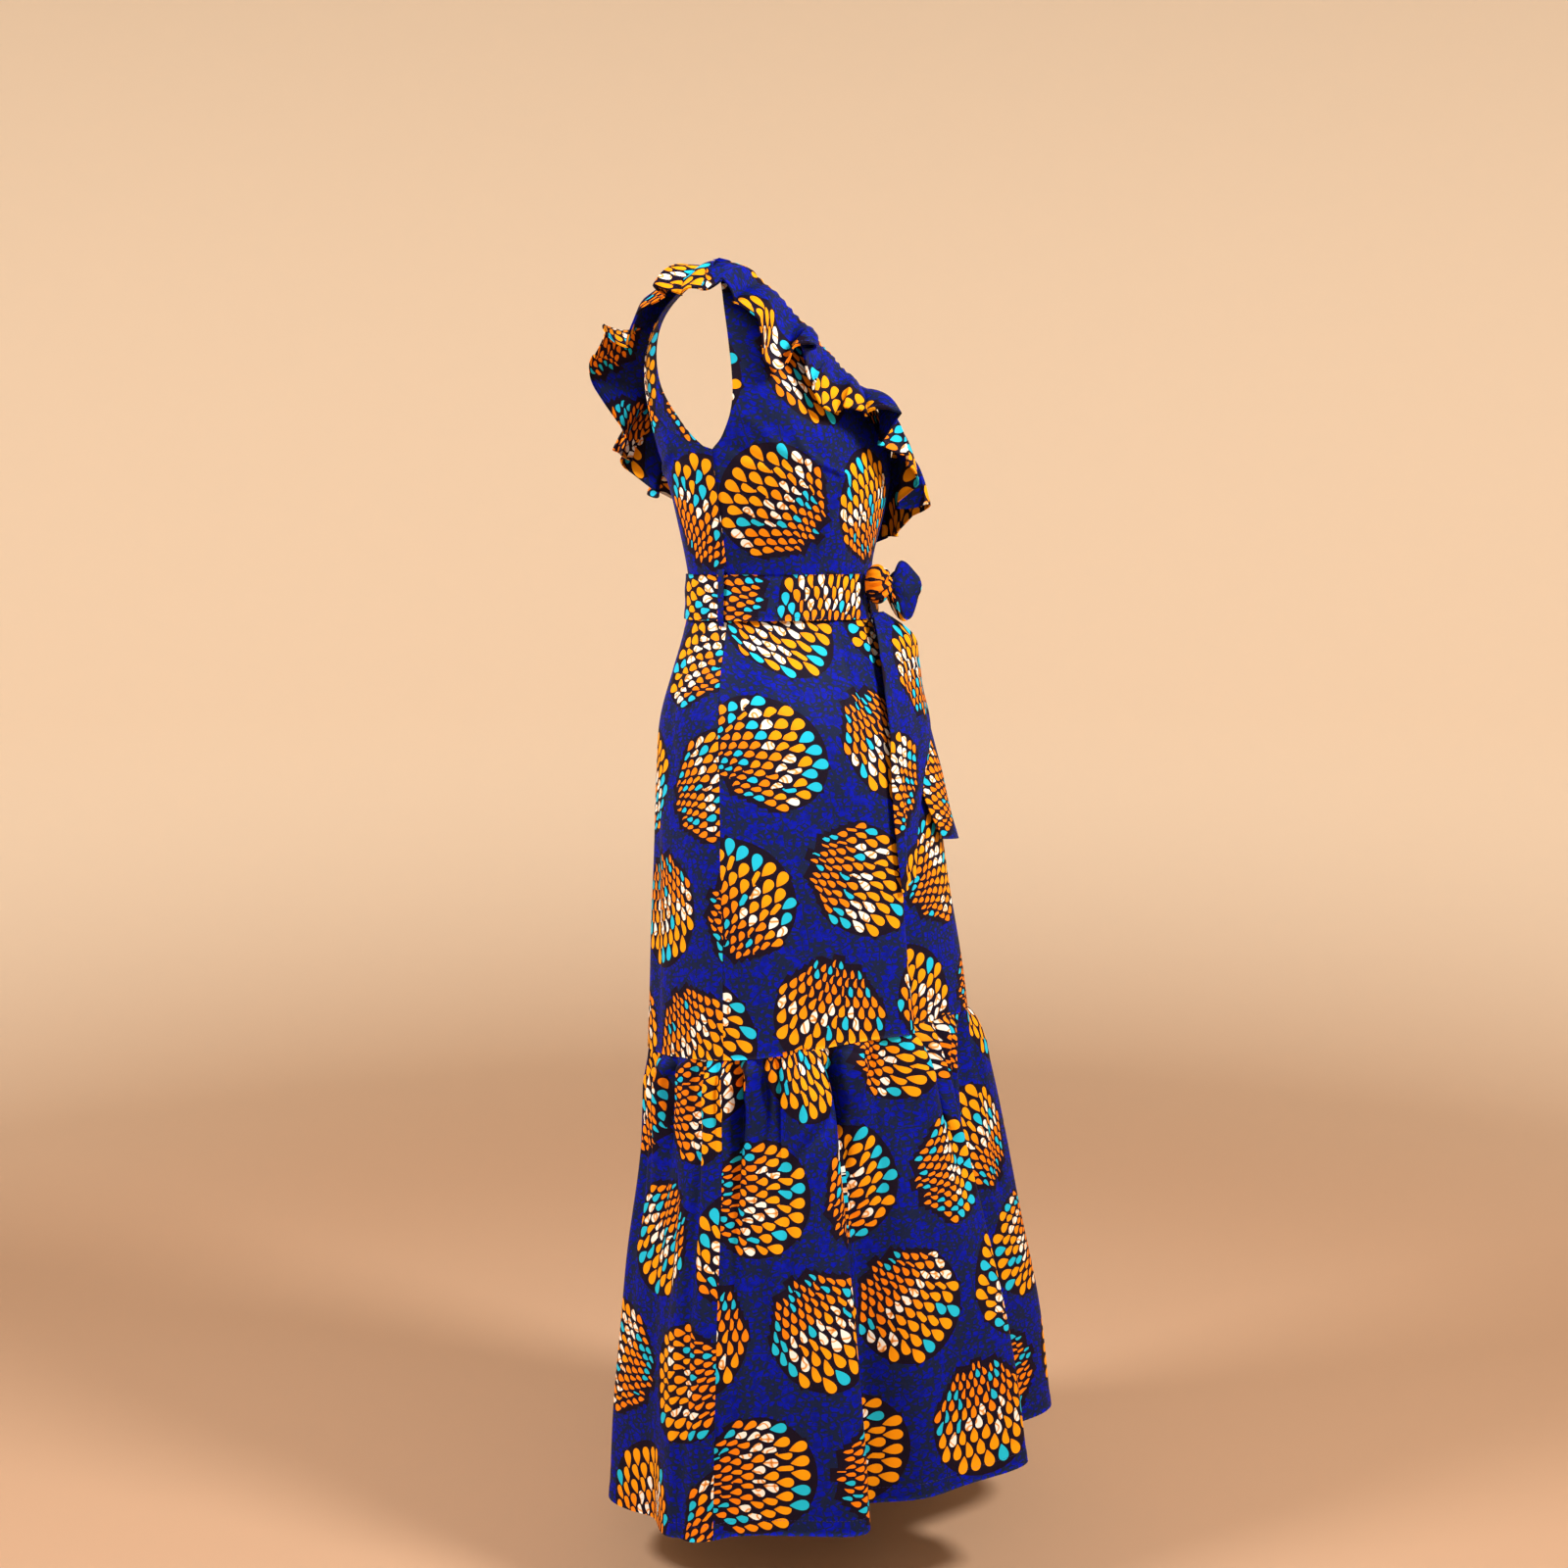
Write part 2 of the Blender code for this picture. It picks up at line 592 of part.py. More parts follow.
BAND_COLUMNS = 49
BAND_LINES = 3
KNOT_ANGLE = 5.0  # where the sash is tied, to the wearer's left of the front centre
KNOT_GAP = 1.5  # degrees from the knot's middle to each end of the band, behind it
KNOT_CENTRE = (0.010, -0.1225, -0.357)
KNOT_SIZE = (0.0185, 0.0165, 0.0225)  # half width, depth and height
KNOT_FOLDS = 5  # folds that run over the knot
KNOT_FOLD_DEEP = 0.09  # how deep they are, as a share of its size
KNOT_BACK = -0.1138  # its flat back, a hair off the band
TAIL_LINES = 15
TAIL_COLUMNS = 7
TAIL_CUP = 0.004  # how far a tail curves out between its edges
LOOP_STEPS_BETWEEN = 2
LOOP_LINES = 6
LOOP_BELLY = 0.003  # how far each side of the loop swells
STRAP_WIDE = 0.010  # width of a belt loop
STRAP_ANGLE = 93.0
STRAP_COLUMNS = 3
STRAP_END = 0.006  # how far a belt loop's ends reach past the sash


def make_band(material):
    """The sash round the waist, open behind its knot."""
    below = np.linspace(SASH_TOP, SASH_TOP + SASH_DEEP, BAND_LINES)[:, None]
    angle = np.linspace(KNOT_ANGLE + KNOT_GAP, KNOT_ANGLE + 360 - KNOT_GAP, BAND_COLUMNS)[None, :]
    inside = ring_point(SASH_RINGS, *np.broadcast_arrays(below, angle), 0.0)
    outside = ring_point(SASH_RINGS, *np.broadcast_arrays(below, angle), WALL)
    return wall("sash_band", inside, outside, material)


def make_knot(material):
    """The knot, a rounded lump with folds that fan over it and a flat back."""
    shape = bmesh.new()
    bmesh.ops.create_icosphere(shape, subdivisions=3, radius=1.0)
    vertices = []
    for vertex in shape.verts:
        across, deep, up = vertex.co
        fold = np.cos(KNOT_FOLDS * np.pi * (0.8 * up - 0.35 * across)) * (1 - deep) / 2
        size = 1 + KNOT_FOLD_DEEP * fold
        x, y, z = (middle + half * size * part for middle, half, part in zip(KNOT_CENTRE, KNOT_SIZE, vertex.co))
        vertices.append((x, min(y, KNOT_BACK + 0.0004 * deep), z))
    faces = [[vertex.index for vertex in face.verts] for face in shape.faces]
    shape.free()
    return solid("sash_knot", np.array(vertices), faces, material)


def make_tail(name, rows, material):
    """One hanging end of the sash."""
    xs = column(rows, "below")
    below = np.linspace(xs[0], xs[-1], TAIL_LINES)[:, None]
    share = np.linspace(0, 1, TAIL_COLUMNS)[None, :]
    right, left, right_off, left_off, skew = (
        smooth(below, xs, column(rows, k)) for k in ("right", "left", "right_off", "left_off", "skew")
    )
    angle = right + (left - right) * share
    off = right_off + (left_off - right_off) * share + TAIL_CUP * 4 * share * (1 - share)
    below = below + skew * share
    fold, sideways = fold_shape(angle, (below - WAIST_BELOW) / (TIER_BELOW - WAIST_BELOW), SKIRT_FOLDS)
    middle = ring_point(SKIRT_RINGS, below, angle, np.maximum(fold, 0) + off, sideways)
    thick = normals_of(middle) * WALL / 2
    return wall(name, middle - thick, middle + thick, material)


def make_loop(material):
    """The bow's loop, a folded band that leaves the knot and comes back to it."""
    knots = np.arange(len(LOOP_STEPS), dtype=float)
    step = np.linspace(0, len(LOOP_STEPS) - 1, (len(LOOP_STEPS) - 1) * LOOP_STEPS_BETWEEN + 1)
    x, y, top, foot = (smooth(step, knots, column(LOOP_STEPS, k)) for k in ("x", "y", "top", "foot"))
    away = np.stack([np.gradient(y), -np.gradient(x)], axis=-1)
    away /= np.linalg.norm(away, axis=-1, keepdims=True)
    share = np.linspace(0, 1, LOOP_LINES)[:, None]
    belly = LOOP_BELLY * 4 * share * (1 - share)
    middle = np.stack([x + belly * away[:, 0], y + belly * away[:, 1], top + (foot - top) * share], axis=-1)
    thick = normals_of(middle) * WALL / 2
    return wall("sash_loop_left", middle - thick, middle + thick, material)


def make_strap(name, side, material):
    """A belt loop over the sash at a side seam. side is +1 on the wearer's left and -1 on the right."""
    foot = SASH_TOP + SASH_DEEP
    levels = (SASH_TOP - STRAP_END, SASH_TOP - 0.0015, foot + 0.0015, foot + STRAP_END)
    turn = np.degrees(STRAP_WIDE / 2 / SASH_RINGS[0].side)
    angle = side * np.linspace(STRAP_ANGLE - turn, STRAP_ANGLE + turn, STRAP_COLUMNS)
    over = WALL + 3 * GAP
    rows = [
        bodice_surface(levels[0], angle, WALL + 2 * GAP),
        ring_point(SASH_RINGS, levels[1], angle, over),
        ring_point(SASH_RINGS, levels[2], angle, over),
        ring_point(SKIRT_RINGS, levels[3], angle, WALL + 4 * GAP),
    ]
    inside = np.stack(rows)
    outward = inside * [1.0, 1.0, 0.0]
    outward /= np.linalg.norm(outward, axis=-1, keepdims=True)
    return wall(name, inside, inside + WALL * outward, material)


def bodice_surface(below, angle, out):
    """A point that stands off the bodice's inside, at a depth below the shoulder."""
    rows = np.linspace(0, LEFT_TOP_ROW, 200)
    row = np.interp(-below, -bodice_value(rows, "below"), rows)
    place = bodice_point(row, angle)
    outward = place * [1.0, 1.0, 0.0]
    return place + out * outward / np.linalg.norm(outward, axis=-1, keepdims=True)


def main():
    """Builds the dress."""
    for thing in list(bpy.data.objects):
        bpy.data.objects.remove(thing)
    cotton = cotton_material()
    make_bodice("bodice_front", True, cotton)
    make_bodice("bodice_back", False, cotton)
    make_ruffle("ruffle_front", FRONT_FLOUNCES, True, cotton)
    make_ruffle("ruffle_back", BACK_FLOUNCES, False, cotton)
    make_skirt("skirt_front", True, cotton)
    make_skirt("skirt_back", False, cotton)
    make_tier("tier_front", True, cotton)
    make_tier("tier_back", False, cotton)
    make_band(cotton)
    make_knot(cotton)
    make_loop(cotton)
    make_tail("sash_tail_right", TAIL_RIGHT_ROWS, cotton)
    make_tail("sash_tail_left", TAIL_LEFT_ROWS, cotton)
    make_strap("belt_loop_right", -1, cotton)
    make_strap("belt_loop_left", 1, cotton)


main()
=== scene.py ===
"""Looks of a one-shoulder maxi dress in wax-print cotton: cloth, folds, print, sewing, light and camera.

Metres, +Z up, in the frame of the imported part. Every piece of cloth is a thin shell on the form of the
solid that it stands for, with finer folds and creases, and carries its own flat cut as a UV map in metres,
so that the print lies on the cloth as it was cut.

Angles go round the body from the front centre: 0 is the front, +90 the wearer's left side seam, -90 the
right one and 180 the back centre.
"""

import logging
import math
from dataclasses import KW_ONLY, dataclass, field
from enum import Enum
from typing import Optional, Sequence, Union

import bmesh
import bpy
import numpy as np
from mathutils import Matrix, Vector


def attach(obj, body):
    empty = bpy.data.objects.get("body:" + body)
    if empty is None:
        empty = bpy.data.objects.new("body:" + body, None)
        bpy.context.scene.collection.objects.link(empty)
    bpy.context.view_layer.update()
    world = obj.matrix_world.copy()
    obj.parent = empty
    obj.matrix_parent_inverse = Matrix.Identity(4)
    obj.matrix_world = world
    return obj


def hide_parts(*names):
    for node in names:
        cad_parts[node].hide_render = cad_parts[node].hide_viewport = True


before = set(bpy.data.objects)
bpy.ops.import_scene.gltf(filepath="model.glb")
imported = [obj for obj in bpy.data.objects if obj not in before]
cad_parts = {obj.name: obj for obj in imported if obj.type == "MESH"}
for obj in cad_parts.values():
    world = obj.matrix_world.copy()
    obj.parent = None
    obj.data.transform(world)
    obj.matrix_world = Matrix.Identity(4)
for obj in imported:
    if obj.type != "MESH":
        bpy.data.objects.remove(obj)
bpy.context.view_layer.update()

LOG = logging.getLogger("dress")
BODY = "root"

# ---------------------------------------------------------------- sizes shared with the solids

WALL = 0.002  # thickness of a solid
GAP = 0.0003  # between pieces that are sewn together
CLOTH = 0.0010  # thickness of a shell
HEM_LAYERS = 2.2  # a turned-up hem against one layer
TUCK = 0.0040  # how far the tier's upper edge goes up behind the skirt's lower edge
TUCK_IN = 0.0020  # how far it lies behind it
TUCK_SOFT = 0.0060  # over what depth it comes forward again
SHOULDER_X = 0.145  # the shoulder rest lies this far to the right of the body's axis
SEAM_BACK = 0.004  # the side and shoulder seams lie this far behind the axis
WAIST_BELOW = 0.3715  # waist seam, under the sash
SASH_TOP = 0.345  # upper edge of the sash
SASH_DEEP = 0.053  # its folded width
TIER_BELOW = 0.893  # seam between skirt and tier
HEM_BELOW = 1.425  # hem
UNDERARM_ROW = 4.0  # row of the bodice table where the right side seam ends
UNDERARM_ROUND = 1.6  # rows over which the foot of the armhole rounds out
SLOPE_ROW = 7.0  # row from which the shoulder's slope grows
LEFT_TOP_ROW = 3.0  # row where the left side seam ends and the neckline starts
SHOULDER_SLOPE = 0.20  # drop of the shoulder seam for each metre towards the arm
NECK_X = -0.118  # inner end of the shoulder seam
AXIS = np.array([SHOULDER_X, -SEAM_BACK, 0.0])  # where the body's axis stands in the part's frame

# Angles are in degrees, shares run from 0 to 1 and all other sizes are metres.


@dataclass(frozen=True)
class BodiceRing:
    """One level of the bodice, from the waist seam up to the shoulder seam."""

    below: float  # under the shoulder seam
    front: float  # half sizes of the ring, forwards, backwards and sideways
    back: float
    side: float
    centre: float  # how far back the ring's centre lies
    squareness: float  # 2 is an ellipse
    neck_front: float  # sideways places of the neckline's edges
    neck_back: float
    arm_front: float  # angles from the side seam to the armhole's edges
    arm_back: float


BODICE_RINGS = (
    BodiceRing(WAIST_BELOW, 0.100, 0.098, 0.134, 0.000, 2.0, 0.000, 0.000, 0, 0),
    BodiceRing(0.325, 0.104, 0.101, 0.140, 0.002, 2.1, 0.000, 0.000, 0, 0),
    BodiceRing(0.280, 0.114, 0.107, 0.150, 0.003, 2.2, 0.000, 0.000, 0, 0),
    BodiceRing(0.240, 0.121, 0.113, 0.159, SEAM_BACK, 2.3, 0.159, 0.159, 8, 28),
    BodiceRing(0.200, 0.121, 0.119, 0.166, 0.006, 2.5, 0.118, 0.062, 8, 32),
    BodiceRing(0.160, 0.114, 0.123, 0.170, 0.008, 2.8, 0.066, -0.010, 9, 38),
    BodiceRing(0.120, 0.102, 0.124, 0.172, 0.010, 3.0, -0.002, -0.056, 10, 43),
    BodiceRing(0.080, 0.087, 0.119, 0.172, 0.010, 3.0, -0.064, -0.082, 10, 46),
    BodiceRing(0.045, 0.067, 0.102, 0.172, 0.009, 2.8, -0.092, -0.099, 11, 44),
    BodiceRing(0.018, 0.042, 0.071, 0.172, 0.007, 2.5, -0.108, -0.110, 14, 36),
    BodiceRing(0.004, 0.019, 0.034, 0.172, 0.005, 2.2, -0.116, -0.115, 18, 26),
    BodiceRing(0.000, 0.000, 0.000, 0.172, SEAM_BACK, 2.0, NECK_X, NECK_X, 20, 20),
)
TOP_ROW = len(BODICE_RINGS) - 1.0


@dataclass(frozen=True)
class SkirtRing:
    """One level of the skirt, the tier or the sash."""

    below: float  # under the shoulder seam
    front: float  # half sizes of the ring, forwards, backwards and sideways
    back: float
    side: float
    centre: float  # how far back the ring's centre lies
    rise: float  # how much higher its front lies than its sides


SKIRT_RINGS = (
    SkirtRing(WAIST_BELOW, 0.100, 0.098, 0.134, 0.000, 0.000),
    SkirtRing(0.420, 0.112, 0.108, 0.150, -0.002, 0.000),
    SkirtRing(0.460, 0.127, 0.122, 0.168, -0.006, 0.001),
    SkirtRing(0.510, 0.143, 0.141, 0.187, -0.012, 0.003),
    SkirtRing(0.580, 0.152, 0.151, 0.199, -0.020, 0.006),
    SkirtRing(0.660, 0.159, 0.158, 0.208, -0.026, 0.010),
    SkirtRing(0.770, 0.167, 0.166, 0.217, -0.033, 0.016),
    SkirtRing(TIER_BELOW, 0.175, 0.174, 0.228, -0.040, 0.023),
)

TIER_RINGS = (
    SkirtRing(TIER_BELOW, 0.175, 0.174, 0.228, -0.040, 0.023),
    SkirtRing(0.950, 0.186, 0.181, 0.236, -0.044, 0.025),
    SkirtRing(1.020, 0.199, 0.191, 0.249, -0.048, 0.027),
    SkirtRing(1.150, 0.218, 0.208, 0.272, -0.054, 0.031),
    SkirtRing(1.290, 0.233, 0.222, 0.291, -0.060, 0.034),
    SkirtRing(HEM_BELOW, 0.242, 0.230, 0.303, -0.064, 0.037),
)

SASH_RINGS = (
    SkirtRing(SASH_TOP, 0.1062, 0.1032, 0.1412, 0.001, 0.000),
    SkirtRing(SASH_TOP + SASH_DEEP, 0.1105, 0.1070, 0.1460, -0.001, 0.000),
)


@dataclass(frozen=True)
class Fold:
    """One soft ridge or trough that runs down the cloth."""

    top_angle: float  # where it lies at the piece's upper edge
    end_angle: float  # and at its lower edge
    width: float  # angle to either side
    top: float  # height at the upper edge, less than 0 for a trough
    end: float  # height at the lower edge
    lean: float = 0.0  # how far it leans sideways, against its height


SKIRT_FOLDS = (
    Fold(-6, -27, 8, 0.000, 0.017, 0.8),
    Fold(6, -15, 7, 0.000, -0.016, 0.8),
    Fold(22, 12, 16, 0.000, 0.012),
    Fold(54, 48, 16, 0.000, -0.007),
    Fold(-48, -50, 14, 0.000, -0.005),
    Fold(-76, -78, 12, 0.000, 0.006),
    Fold(-112, -114, 15, 0.000, -0.006),
    Fold(-142, -146, 15, 0.000, 0.010),
    Fold(176, 178, 16, 0.000, -0.010),
    Fold(146, 144, 15, 0.000, 0.010),
    Fold(116, 112, 14, 0.000, -0.006),
    Fold(90, 88, 12, 0.000, 0.006),
)

TIER_FOLDS = (
    Fold(-100, -98, 12, 0.004, 0.014),
    Fold(-78, -80, 10, -0.004, -0.012),
    Fold(-59, -57, 9, 0.010, 0.030, 0.8),
    Fold(-45, -42, 8, -0.012, -0.040, 0.8),
    Fold(-22, -10, 12, 0.010, 0.034, 0.6),
    Fold(0, 9, 9, -0.008, -0.046, 0.6),
    Fold(26, 30, 12, 0.008, 0.030),
    Fold(50, 52, 10, -0.006, -0.028),
    Fold(74, 74, 12, 0.006, 0.022),
    Fold(98, 98, 10, -0.005, -0.022),
    Fold(122, 122, 12, 0.006, 0.024),
    Fold(146, 146, 10, -0.006, -0.026),
    Fold(170, 170, 12, 0.006, 0.024),
    Fold(-166, -166, 10, -0.005, -0.022),
    Fold(-142, -142, 12, 0.006, 0.020),
    Fold(-120, -120, 10, -0.004, -0.014),
)

FOLD_FALL = 1.4  # how fast a fold falls off to either side
GATHERS = 30  # wide gathers round the tier's seam
GATHER_DEEP = 0.0055
GATHER_FADE = 0.34  # share of the tier's height over which they fade
GATHER_GROWN = 0.09  # share over which they rise from the seam


@dataclass(frozen=True)
class Gather:
    """One deep gather under the tier's seam, finer than the solid's."""

    angle: float
    width: float  # to either side
    height: float  # less than 0 for a valley
    reach: float  # share of the tier's height over which it fades


TIER_GATHERS = (
    Gather(-112, 3.5, 0.012, 0.20),
    Gather(-104, 3.0, -0.016, 0.28),
    Gather(-96, 3.0, 0.012, 0.16),
    Gather(-89, 2.4, 0.010, 0.18),
    Gather(-84, 2.2, -0.018, 0.30),
    Gather(-79, 2.2, 0.012, 0.20),
    Gather(-75, 1.6, -0.014, 0.20),
    Gather(-70, 1.8, -0.012, 0.26),
    Gather(-64, 2.8, 0.014, 0.22),
    Gather(-50, 2.6, -0.016, 0.30),
    Gather(-41, 2.6, 0.014, 0.16),
    Gather(-33, 2.2, -0.018, 0.22),
    Gather(-24, 3.0, 0.016, 0.15),
    Gather(-14, 2.4, -0.018, 0.26),
    Gather(-3, 3.2, 0.016, 0.18),
    Gather(9, 2.6, -0.016, 0.28),
    Gather(20, 3.0, 0.014, 0.20),
    Gather(33, 2.6, -0.016, 0.24),
    Gather(47, 3.2, 0.012, 0.20),
    Gather(60, 2.6, -0.016, 0.28),
    Gather(75, 3.0, 0.012, 0.18),
    Gather(96, 2.8, -0.016, 0.24),
    Gather(112, 3.2, 0.012, 0.20),
    Gather(128, 2.6, -0.016, 0.30),
    Gather(143, 3.0, 0.014, 0.18),
    Gather(157, 2.4, -0.018, 0.24),
    Gather(172, 3.0, 0.014, 0.20),
    Gather(-173, 2.6, -0.016, 0.28),
    Gather(-157, 3.0, 0.012, 0.20),
    Gather(-143, 2.6, -0.016, 0.26),
    Gather(-127, 2.8, 0.012, 0.20),
    Gather(-119, 2.4, -0.012, 0.24),
    Gather(-52, 2.0, -0.014, 2.5),
    Gather(-5, 2.0, -0.012, 2.5),
    Gather(-86, 2.0, -0.008, 1.6),
    Gather(-100, 2.2, -0.008, 2.0),
    Gather(38, 2.2, -0.012, 2.2),
    Gather(86, 2.2, -0.010, 2.0),
    Gather(134, 2.2, -0.012, 2.4),
    Gather(180, 2.2, -0.012, 2.2),
    Gather(-154, 2.2, -0.010, 2.4),
)


@dataclass(frozen=True)
class Flounce:
    """One lobe or hollow of the ruffle's free edge, seen from its seam."""

    along: float  # share of the seam, from the shoulder
    reach: float  # away from the body's axis
    drop: float  # down
    sweep: float  # round the body
    lift: float = 0.007  # off the bodice, where the ruffle leaves its seam


FRONT_FLOUNCES = (
    Flounce(0.00, 0.080, 0.036, 0.000, 0.009),
    Flounce(0.07, 0.076, 0.020, -0.012),
    Flounce(0.14, 0.076, 0.040, -0.026),
    Flounce(0.20, 0.060, 0.062, -0.034),
    Flounce(0.26, 0.070, 0.014, -0.026),
    Flounce(0.32, 0.046, 0.032, -0.066),
    Flounce(0.39, 0.032, 0.052, -0.070),
    Flounce(0.47, 0.046, 0.028, -0.068),
    Flounce(0.53, 0.028, 0.058, -0.052),
    Flounce(0.60, 0.030, 0.060, -0.044),
    Flounce(0.67, 0.006, 0.084, -0.022),
    Flounce(0.74, 0.024, 0.066, -0.046),
    Flounce(0.81, -0.006, 0.084, -0.024),
    Flounce(0.87, 0.026, 0.078, -0.014),
    Flounce(0.93, -0.004, 0.090, -0.008),
    Flounce(1.00, 0.010, 0.088, -0.004),
)

BACK_FLOUNCES = (
    Flounce(0.00, 0.080, 0.036, 0.000, 0.009),
    Flounce(0.08, 0.072, 0.024, -0.020, 0.017),
    Flounce(0.15, 0.048, 0.014, -0.040, 0.018),
    Flounce(0.22, 0.062, 0.030, -0.056, 0.010),
    Flounce(0.29, 0.060, -0.002, -0.014),
    Flounce(0.36, 0.077, -0.002, -0.020),
    Flounce(0.43, 0.040, 0.060, -0.040),
    Flounce(0.50, 0.062, 0.050, -0.030),
    Flounce(0.57, 0.030, 0.076, -0.030),
    Flounce(0.64, 0.084, 0.044, -0.020),
    Flounce(0.71, 0.016, 0.084, -0.020),
    Flounce(0.78, 0.050, 0.066, -0.026),
    Flounce(0.85, 0.002, 0.086, -0.014),
    Flounce(0.92, 0.036, 0.076, -0.010),
    Flounce(1.00, 0.010, 0.088, -0.004),
)

SHIN_OUT = 0.65  # the ruffle first goes out, by this share of its reach and sweep
SHIN_DOWN = 0.16  # and this share of its drop


@dataclass(frozen=True)
class LoopStep:
    """One step of the bow's loop, from the knot out to its tip and back."""

    x: float
    y: float
    top: float  # heights of the band's two edges
    foot: float


LOOP_STEPS = (
    LoopStep(0.0240, -0.1360, -0.350, -0.376),
    LoopStep(0.0270, -0.1430, -0.331, -0.388),
    LoopStep(0.0330, -0.1490, -0.331, -0.399),
    LoopStep(0.0400, -0.1550, -0.339, -0.396),
    LoopStep(0.0455, -0.1600, -0.347, -0.376),
    LoopStep(0.0505, -0.1590, -0.349, -0.372),
    LoopStep(0.0510, -0.1520, -0.346, -0.392),
    LoopStep(0.0460, -0.1430, -0.340, -0.402),
    LoopStep(0.0390, -0.1340, -0.341, -0.394),
    LoopStep(0.0340, -0.1260, -0.350, -0.376),
)


@dataclass(frozen=True)
class TailRow:
    """One level of a sash tail, which hangs over the skirt."""

    below: float  # under the shoulder seam
    right: float  # angles of its two edges
    left: float
    right_off: float  # how far each edge stands off the skirt
    left_off: float
    skew: float  # how much lower the left edge lies


TAIL_RIGHT_ROWS = (
    TailRow(0.390, -1, 9, 0.0170, 0.0200, 0.000),
    TailRow(0.400, -1, 15, 0.0170, 0.0280, 0.000),
    TailRow(0.420, -2, 25, 0.0160, 0.0390, 0.000),
    TailRow(0.450, -9, 28, 0.0150, 0.0300, 0.002),
    TailRow(0.490, -15, 26, 0.0130, 0.0170, 0.002),
    TailRow(0.540, -19, 14, 0.0120, 0.0130, 0.000),
    TailRow(0.590, -22, 3, 0.0100, 0.0110, -0.004),
    TailRow(0.650, -24, -5, 0.0090, 0.0100, -0.008),
    TailRow(0.722, -25, -10, 0.0080, 0.0090, -0.012),
)

TAIL_LEFT_ROWS = (
    TailRow(0.393, 3, 13, 0.0110, 0.0120, 0.000),
    TailRow(0.404, 3, 20, 0.0100, 0.0150, 0.000),
    TailRow(0.425, 3, 29, 0.0090, 0.0200, 0.000),
    TailRow(0.455, 2, 33, 0.0070, 0.0160, 0.000),
    TailRow(0.495, 0, 34, 0.0055, 0.0090, 0.000),
    TailRow(0.545, -1, 33, 0.0055, 0.0080, 0.000),
    TailRow(0.590, 0, 31, 0.0060, 0.0110, 0.000),
    TailRow(0.640, 3, 30, 0.0090, 0.0130, 0.003),
    TailRow(0.672, 8, 29, 0.0110, 0.0190, 0.008),
)

KNOT_ANGLE = 5.0  # where the sash is tied
KNOT_GAP = 1.5  # half of the angle left open behind the knot
KNOT_CENTRE = (0.010, -0.1225, -0.357)
KNOT_SIZE = (0.0185, 0.0165, 0.0225)  # half sizes
KNOT_FOLDS = 5
KNOT_FOLD_DEEP = 0.09  # against the half sizes
KNOT_BACK = -0.1138  # its flat back
TAIL_CUP = 0.004  # how far a tail's middle stands off the line between its edges
LOOP_BELLY = 0.003  # how far the loop's band bulges
STRAP_WIDE = 0.010
STRAP_ANGLE = 93.0  # the belt loops' middle
STRAP_END = 0.006  # how far they reach past the sash

# ---------------------------------------------------------------- forms

NECK_END = 0.02  # rows by which the neckline stops short of the left side seam
NECK_STEP = 0.02  # how far ahead and behind its direction is read
NECK_ASIDE = 4.0  # angle away from it at which the bodice's slope is read
UNDERARM_POWER = 0.7  # less is rounder
SEAM_FADE = 4.0  # how fast the skirt's folds fade in the tier


@dataclass(frozen=True)
class Sway:
    """A slow wave that makes quicker ones uneven."""

    size: float
    pace: float
    start: float = 0.0

    def at(self, place: np.ndarray) -> np.ndarray:
        """The wave's height at a place, in radians or in shares of a length."""
        return self.size * np.sin(place * self.pace + self.start)


def varied(place: np.ndarray, sway: Sway) -> np.ndarray:
    """How deep each wave is, about three quarters of the deepest."""
    return 0.75 + sway.at(place)


GATHER_SPACING = Sway(0.9, 3)
GATHER_DEPTHS = Sway(0.35, 7, 1.0)


def column(rows: Sequence, name: str) -> np.ndarray:
    """One named column of a table, as numbers."""
    return np.array([getattr(row, name) for row in rows], float)


def smooth(at: np.ndarray, xs: np.ndarray, ys: np.ndarray) -> np.ndarray:
    """A smooth curve through the table's points, level past its ends.

    Args:
        at: where to read the curve.
        xs: the table's places, rising.
        ys: the table's values.

    Returns:
        The curve's values, in the shape of at.
    """
    at = np.clip(np.asarray(at, float), xs[0], xs[-1])
    steps = np.diff(xs)
    grades = np.diff(ys) / steps
    slopes = np.empty_like(ys)
    slopes[1:-1] = (grades[:-1] * steps[1:] + grades[1:] * steps[:-1]) / (steps[:-1] + steps[1:])
    slopes[0], slopes[-1] = grades[0], grades[-1]
    i = np.clip(np.searchsorted(xs, at, side="right") - 1, 0, len(xs) - 2)
    h = steps[i]
    t = (at - xs[i]) / h
    return (
        ys[i] * (2 * t**3 - 3 * t**2 + 1)
        + ys[i + 1] * (3 * t**2 - 2 * t**3)
        + slopes[i] * h * (t**3 - 2 * t**2 + t)
        + slopes[i + 1] * h * (t**3 - t**2)
    )


def bodice_value(row: np.ndarray, name: str) -> np.ndarray:
    """A column of the bodice table at a row number, whole or not."""
    return smooth(row, np.arange(len(BODICE_RINGS), dtype=float), column(BODICE_RINGS, name))


